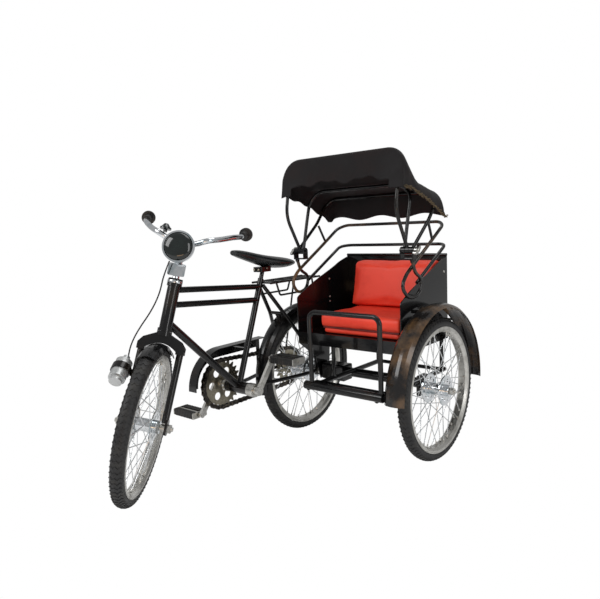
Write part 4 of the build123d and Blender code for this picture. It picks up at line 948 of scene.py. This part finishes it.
def share_of(value, low, high):
    """0 up to low, 1 from high on, and even between them."""
    return min(max((value - low) / (high - low), 0), 1)


def along_line(line, back):
    """A height read off a line of (back, up) points."""
    for (y0, z0), (y1, z1) in zip(line, line[1:]):
        if back <= y1:
            break
    return z0 + (z1 - z0) * share_of(back, y0, y1)


print("hood rows:", len(roof_rows))

# %% One row, up and over
SKIRT_STEPS, CORNER_STEPS, ROOF_STEPS = 9, 6, 64
CORNER = 34.0
LEG_LEAN, LEAN_END = 0.181, 440    # the skirt leans like the bow's leg, less and less to here


def hood_row(back, up_at):
    """(across, back, up) points of a row, from the right skirt's hem to the left's."""
    hem = min(along_line(skirt_line, back), up_at - 0.5)
    corner = min(CORNER, 0.8 * (up_at - hem))
    half = []
    flat = CLOTH_HALF - corner
    for step in range(SKIRT_STEPS):
        half.append((CLOTH_HALF, hem + (up_at - corner - hem) * step / SKIRT_STEPS))
    for step in range(CORNER_STEPS):
        angle = pi / 2 * step / CORNER_STEPS
        half.append((flat + corner * cos(angle), up_at - corner + corner * sin(angle)))
    across = [(flat - 2 * flat * s / ROOF_STEPS, up_at) for s in range(ROOF_STEPS + 1)]
    outline = half + across + [(-x, z) for x, z in reversed(half)]
    lean = LEG_LEAN * (1 - share_of(back, FRONT_BOW[0], LEAN_END))
    return [(x, back - lean * (up_at - z), z) for x, z in outline]


def valance_row(share):
    """A row of the flap that hangs before the front bow: share is 0 at its hem and 1
    where it meets the roll."""
    hang = 1 - share
    drop, side = VALANCE_DROP * hang, VALANCE_SIDE * hang
    top = FRONT_BOW[1]
    row = []
    for x, y, z in hood_row(FRONT_BOW[0] - BOW_COVER, top):
        height = share_of(z, top - 58, top - 2)
        wave = hang * (3.5 * sin(x * 0.058 + 0.8) + 2.0 * sin(x * 0.13))
        fall = (drop + wave) * height
        at_leg = share_of(abs(x), 80, 110)
        flutter = hang * (1.0 + 1.4 * sin(x * 0.09 + 2.0))
        y -= LEG_LEAN * fall * at_leg + flutter
        row.append((x * (1 - side / CLOTH_HALF), y, z - fall))
    return row


# %% Folds and hems
def fold(x, row_share, lowness):
    """How far the cloth stands off, in millimetres: long folds and a few short ones."""
    long_fold = sin(x * 0.045 + 1.3) + 0.6 * sin(x * 0.083 + 0.4 + 2.0 * row_share)
    short_fold = 0.5 * sin(x * 0.19 + 5.0 * row_share) * lowness
    soft = noise.noise(Vector((x * 0.02, row_share * 4.0, 3.7)))
    return long_fold * 0.6 + short_fold + 1.6 * soft


def slack(row, back):
    """How free the cloth is on a row: 0 at a bow, 1 midway between."""
    if row < ROLL_ROWS or back <= ROLL_END:
        return 0.0
    if back < MIDDLE_BOW:
        return sin(pi * share_of(back, ROLL_END, MIDDLE_BOW))
    if back < REAR_BOW:
        return 0.7 * sin(pi * share_of(back, MIDDLE_BOW, REAR_BOW))
    return share_of(back, REAR_BOW, REAR_BOW + 14)


# On the UV map, in metres: from row to row, and the middle of the flap.
ROW_STEP, VALANCE_STEP, VALANCE_MIDDLE = 0.0062, 0.0055, 0.136
points, uvs = [], []
for number in range(VALANCE_ROWS):
    for x, y, z in valance_row(number / VALANCE_ROWS):
        points.append(spot(CARRIAGE_MIDDLE + x, y, z))
        uvs.append((VALANCE_MIDDLE + x * MM, (number - VALANCE_ROWS) * VALANCE_STEP))
for row, (back, up_at) in enumerate(roof_rows):
    row_share = row / (len(roof_rows) - 1)
    free = slack(row, back)
    travelled = 0.0
    previous = None
    for x, y, z in hood_row(back, up_at):
        on_skirt = abs(x) > CLOTH_HALF - 1
        lowness = share_of(up_at - z, 0, 50)
        push = fold(x, row_share, lowness)
        if on_skirt:
            hang = noise.noise(Vector((y * 0.05, z * 0.03, 1.0 if x > 0 else 9.0)))
            x += (1 if x > 0 else -1) * lowness * (1.2 + 2.6 * hang)
            z += lowness * 2.2 * sin(y * 0.16 + (0.0 if x > 0 else 1.7))
        elif back > REAR_BOW + 1:
            y += (0.6 + push) * free
            z += share_of(row_share, 0.82, 1) * (5.0 + 4.0 * sin(x * 0.062 + 2.2))
        else:
            z += free * (push + (-1.0 if back < MIDDLE_BOW else 1.2))
        where = spot(CARRIAGE_MIDDLE + x, y, z)
        if previous is not None:
            travelled += (where - previous).length
        previous = where
        points.append(where)
        uvs.append((travelled, row * ROW_STEP))
row_count = len(roof_rows) + VALANCE_ROWS
row_length = len(points) // row_count
hood = new_piece("hood_cloth", points, grid_faces(row_count, row_length), hood_cloth)
layer = hood.data.uv_layers.new(name="cloth")
for loop in hood.data.loops:
    layer.data[loop.index].uv = uvs[loop.vertex_index]
print("hood points:", len(points))

# %% Its thickness, on a finer grid
finer = hood.modifiers.new("finer", "SUBSURF")
finer.levels = finer.render_levels = 1
wall = hood.modifiers.new("cloth_wall", "SOLIDIFY")
wall.thickness = 0.0007
wall.offset = 0.0
settle(hood)
hood.data.shade_smooth()
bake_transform(hood)
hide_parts("hood_fabric")

# %% [markdown]
# A golden lacing closes the left skirt's hem: a row of small loops, each turned against
# the next, from a brass ring on the front bow to the rear corner.

# %% The lacing and its ring
def torus_pattern(name, radius, wall, steps=10, sides=5):
    """A small ring in its own x-y plane, in millimetres."""
    points = []
    for step in range(steps):
        for side in range(sides):
            round_wire, round_ring = 2 * pi * side / sides, 2 * pi * step / steps
            reach = (radius + wall * cos(round_wire)) * MM
            height = wall * MM * sin(round_wire)
            points.append((reach * cos(round_ring), reach * sin(round_ring), height))
    return pattern(name, points, grid_faces(steps, sides, True, True))


loop_shape = torus_pattern("lacing_loop_pattern", 2.3, 0.75)
LACE_COUNT = 58
LACE_FRONT, LACE_REAR = 383, 541
lace_places = []
for number in range(LACE_COUNT):
    back = LACE_FRONT + (LACE_REAR - LACE_FRONT) * number / (LACE_COUNT - 1)
    up_here = along_line(skirt_line, back) + 1.5 + 1.2 * sin(number * 1.9)
    out = CARRIAGE_MIDDLE + CLOTH_HALF + 1.6 + 0.8 * sin(number * 2.7)
    tangent = Vector((0, 1, -0.34)).normalized()
    tipped = Matrix.Rotation(radians(55 if number % 2 else -40), 3, tangent) @ LEFT
    lace_places.append(
        frame_at(spot(out, back, up_here), tangent, tipped.cross(tangent), tipped)
    )
lacing = repeat("hood_lacing", lace_places, loop_shape, gold_lacing)
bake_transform(lacing)

BOW_FOOT, BOW_HALF = (373.0, 472.0), 125
bow_leg_way = Vector((0, BOW_FOOT[0] - FRONT_BOW[0], BOW_FOOT[1] - FRONT_BOW[1])).normalized()
ring_shape = torus_pattern("bow_ring_pattern", 4.6, 1.0, steps=24, sides=8)
ring_place = looking(spot(CARRIAGE_MIDDLE + BOW_HALF, 380.8, 515), bow_leg_way)
bow_ring = repeat("bow_ring", [ring_place], ring_shape, brass)
finish_piece(bow_ring, "hood_front")

# %% [markdown]
# ## The lamp's wire
# A thin wire runs from the dynamo's terminal up past the fork crown to the lamp. It is a
# fixed length of something flexible, so it is one smooth curve through open air that
# leaves the terminal straight and goes into the lamp's bracket.

# %% The wire
WIRE_POINTS = (
    (-55.0, -12.0, 236.0), (-59.0, -18.0, 253.0), (-53.0, -9.0, 277.0),
    (-42.0, 2.0, 300.0), (-31.0, 7.0, 322.0), (-23.0, 11.0, 344.0),
    (-18.0, 16.0, 366.0), (-17.0, 21.0, 391.0), (-12.0, 21.0, 417.8),
)
WIRE_DIAMETER = 0.0026
wire_data = bpy.data.curves.new("lamp_wire_run", "CURVE")
wire_data.dimensions = "3D"
wire_line = wire_data.splines.new("NURBS")
wire_line.points.add(len(WIRE_POINTS) - 1)
for point, place in zip(wire_line.points, WIRE_POINTS):
    point.co = (*steered(*place), 1)
wire_line.order_u = 3
wire_line.use_endpoint_u = True
wire_line.resolution_u = 8
wire_data.bevel_depth = WIRE_DIAMETER / 2
wire_data.bevel_resolution = 3
wire_data.use_fill_caps = True
wire_data.materials.append(wire_sheath)
wire = bpy.data.objects.new("lamp_wire_run", wire_data)
scene.collection.objects.link(wire)
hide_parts("lamp_wire")
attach(wire, "steering")
print("wire run of", len(WIRE_POINTS), "points")

# %% [markdown]
# ## The lamp
# The lens is a dark glass dome in the lamp's chrome ring. A dome mirrors the room in small
# curved lights, which a flat disc can't do, so it replaces the plain solid.

# %% The lens dome
LAMP_AT = 444.0
LENS_RADIUS, LENS_BASE, LENS_RISE = 24.6, 30.0, 8.6
RINGS, SIDES = 12, 48
points = []
for ring in range(RINGS + 1):
    slope = pi / 2 * ring / RINGS
    radius = max(LENS_RADIUS * cos(slope), 0.05)
    forward = LENS_BASE + LENS_RISE * sin(slope)
    points += [
        steered(radius * cos(turned), forward, LAMP_AT + radius * sin(turned))
        for turned in (2 * pi * s / SIDES for s in range(SIDES))
    ]
faces = grid_faces(RINGS + 1, SIDES, loop_columns=True)
faces += [tuple(range(SIDES)), tuple(range(RINGS * SIDES, (RINGS + 1) * SIDES))]
lens = face_out(new_piece("lamp_lens", points, faces, lamp_glass))
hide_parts("lamp_glass")
finish_piece(lens, "steering")

# %% [markdown]
# ## Small fittings
# Screws hold the panels, ribs cover the pedals' rubber, wing nuts clamp the hood's bows
# and dull bolts show under the saddle.

# %% Screws on the panels
PANEL_HALF, PANEL_WALL = 119.5, 1.6
screw_list = []
for way in (1, -1):
    face = CARRIAGE_MIDDLE + way * (PANEL_HALF + PANEL_WALL)
    for back, up_at in ((560, 350), (560, 250), (470, 225), (400, 225)):
        screw_list.append(looking(spot(face, back, up_at), way * LEFT))
for up_at in (286, 296, 335):
    screw_list.append(looking(spot(CARRIAGE_MIDDLE - PANEL_HALF, 500, up_at), LEFT))
panel_screws = repeat("panel_screws", screw_list, screw_shape, zinc)
finish_piece(panel_screws, "root")

# %% Ribs on the pedals' rubber blocks
RIB_COUNT = 11
RIB_HALF, RIB_END, BLOCK_OFFSET = 1.1, 3.0, 11.5
rib_outline = [(-5.6, -5.4), (-3.6, -7.7), (3.6, -7.7), (5.6, -5.4),
               (5.6, 5.4), (3.6, 7.7), (-3.6, 7.7), (-5.6, 5.4)]
rib_points = [(x * MM, y * MM, z * MM) for x in (-RIB_HALF, RIB_HALF) for y, z in rib_outline]
rib = pattern("pedal_rib_pattern", rib_points, prism_faces(len(rib_outline)))
for side_name, body in (("left", "pedal_left"), ("right", "pedal_right")):
    low, high = (Vector(c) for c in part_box(f"{side_name}_pedal_blocks"))
    centre = (low + high) / 2
    places = []
    for block_way in (-1, 1):
        for number in range(RIB_COUNT):
            share = number / (RIB_COUNT - 1)
            x = low.x + RIB_END * MM + (high.x - low.x - 2 * RIB_END * MM) * share
            y = centre.y + block_way * BLOCK_OFFSET * MM
            places.append(Matrix.Translation((x, y, centre.z)))
    ribs = repeat(f"{side_name}_pedal_ribs", places, rib, moulded_rubber)
    finish_piece(ribs, body)

# %% Wing nuts on the hood's pivot bolts
WING_TURN, WING_START = radians(35), 138.65   # the wings' lean, a nut's inner end
PIVOT = (413, 401)


def wing_shape(half, radius, low, high, steps=6):
    """A flat wing with round ends, square to its bolt."""
    outline = []
    for side in (1, -1):
        for step in range(steps + 1):
            angle = pi * (step / steps - 0.5)
            outline.append(
                (side * (half + radius * cos(angle)) * MM, side * radius * sin(angle) * MM)
            )
    points = [(x, y, h * MM) for h in (low, high) for x, y in outline]
    return pattern("wing_pattern", points, prism_faces(len(outline)))


wing_boss_shape = turned_profile(
    "wing_boss_pattern",
    [(4.9, -0.2), (4.9, 5.6), (4.2, 7.2), (2.7, 7.6), (2.6, 9.2), (0.4, 9.4)],
)
wing_places = []
for side in (-1, 1):
    outward = side * LEFT
    along = Vector((0, cos(WING_TURN), sin(WING_TURN)))
    at = spot(CARRIAGE_MIDDLE + side * WING_START, *PIVOT)
    wing_places.append(frame_at(at, along, outward.cross(along), outward))
for name, shape in (("wing_nut_wings", wing_shape(half=8.1, radius=3.2, low=1.2, high=7.0)),
                    ("wing_nut_bosses", wing_boss_shape)):
    nuts = repeat(name, wing_places, shape, zinc)
    finish_piece(nuts, "root")

# %% Bolts under the saddle and the ring on the head
AHEAD = Vector((0, -1, 0))
saddle_bolts = [looking(spot(x, 333, 368), AHEAD) for x in (-6, 6)]
saddle_bolts += [looking(spot(way * 13.6, 350, 370), way * LEFT) for way in (1, -1)]
seat_bolts = repeat("saddle_bolts", saddle_bolts, screw_shape, bronzed_steel)
finish_piece(seat_bolts, "root")
head_ring = turned_profile(
    "head_ring_pattern", [(13.0, 0), (13.4, 0.6), (13.4, 4.4), (13.0, 5.0), (7.5, 5.0)], 32)
HEAD_TOP = 383.4
rings = [looking(steered(0, 0, HEAD_TOP), steer_up)]
head_rings = repeat("head_lock_ring", rings, head_ring, chrome)
finish_piece(head_rings, "steering")

# %% [markdown]
# ## Camera, light and floor
# The camera stands low in front of the rickshaw's left, at a normal lens. Soft lamps
# light it: a key from the camera's left, a fill from its right, one above and a warm one
# near the floor. The world is full white only to the camera. The floor isn't seen: it
# only throws light back.

# %% Camera
LENS = 34.63
CAMERA_PLACE = spot(819.2, -500.1, 452.5)
AZIMUTH, LOOK_DOWN, ROLL = radians(40.328), radians(7.275), radians(-2.476)
away = Vector((sin(AZIMUTH) * cos(LOOK_DOWN), -cos(AZIMUTH) * cos(LOOK_DOWN), sin(LOOK_DOWN)))
right = Vector((cos(AZIMUTH), sin(AZIMUTH), 0))
up = away.cross(right)
camera_right = right * cos(ROLL) + up * sin(ROLL)
camera_up = up * cos(ROLL) - right * sin(ROLL)
camera_data = bpy.data.cameras.new("camera")
camera_data.lens = LENS
camera_data.sensor_width = 36.0
camera_data.clip_start = 0.01
camera = bpy.data.objects.new("camera", camera_data)
camera.matrix_world = frame_at(CAMERA_PLACE, camera_right, camera_up, away)
scene.collection.objects.link(camera)
scene.camera = camera
print("the camera stands at", [round(v, 3) for v in CAMERA_PLACE])

# %% Lamps
def soft_lamp(name, place, aim, size, watts, colour=(1, 1, 1)):
    """A square area lamp that faces a point."""
    data = bpy.data.lights.new(name, "AREA")
    data.shape = "RECTANGLE"
    data.size, data.size_y = size
    data.energy = watts
    data.color = colour
    lamp = bpy.data.objects.new(name, data)
    lamp.matrix_world = looking(Vector(place), (Vector(place) - Vector(aim)).normalized())
    scene.collection.objects.link(lamp)


AIM = (0.0, 0.0, 0.25)
soft_lamp("key_lamp", (-0.6, -1.5, 1.5), AIM, (1.0, 1.0), 17.0)
soft_lamp("fill_lamp", (1.9, -0.4, 0.9), AIM, (0.5, 1.4), 9.0)
soft_lamp("top_lamp", (0.1, 0.5, 2.0), AIM, (1.6, 0.8), 12.0)
soft_lamp("warm_lamp", (0.9, -1.3, 0.05), (0.15, 0.1, 0.2), (0.7, 0.2), 1.6, (1.0, 0.62, 0.32))

# %% World: full white to the camera, dimmer as light
world = bpy.data.worlds.new("white_room")
scene.world = world
world.use_nodes = True
world.node_tree.nodes.clear()
WHITE = (1, 1, 1, 1)
wire_up(
    world.node_tree,
    {
        "path": ("ShaderNodeLightPath", {}, {}),
        "room": ("ShaderNodeBackground", {}, {"Color": WHITE, "Strength": 0.42}),
        "seen": ("ShaderNodeBackground", {}, {"Color": WHITE, "Strength": 1.0}),
        "mix": ("ShaderNodeMixShader", {}, {}),
        "out": ("ShaderNodeOutputWorld", {}, {}),
    },
    """
    path.Is Camera Ray > mix.Fac
    room.Background > mix.1
    seen.Background > mix.2
    mix.Shader > out.Surface
    """,
)

# %% Floor
FLOOR_HALF, FLOOR_DROP = 6.0, -0.0005
floor_finish = bpy.data.materials.new("white_floor")
floor_finish.use_nodes = True
shader = floor_finish.node_tree.nodes["Principled BSDF"]
shader.inputs["Base Color"].default_value = (0.93, 0.93, 0.93, 1)
shader.inputs["Roughness"].default_value = 0.9
corners = [
    (x * FLOOR_HALF, y * FLOOR_HALF, FLOOR_DROP) for x, y in ((-1, -1), (1, -1), (1, 1), (-1, 1))
]
floor = new_piece("floor", corners, [(0, 1, 2, 3)], floor_finish)
floor.visible_camera = False
scene.view_settings.view_transform = "Standard"
print("the floor is", 2 * FLOOR_HALF, "m across")
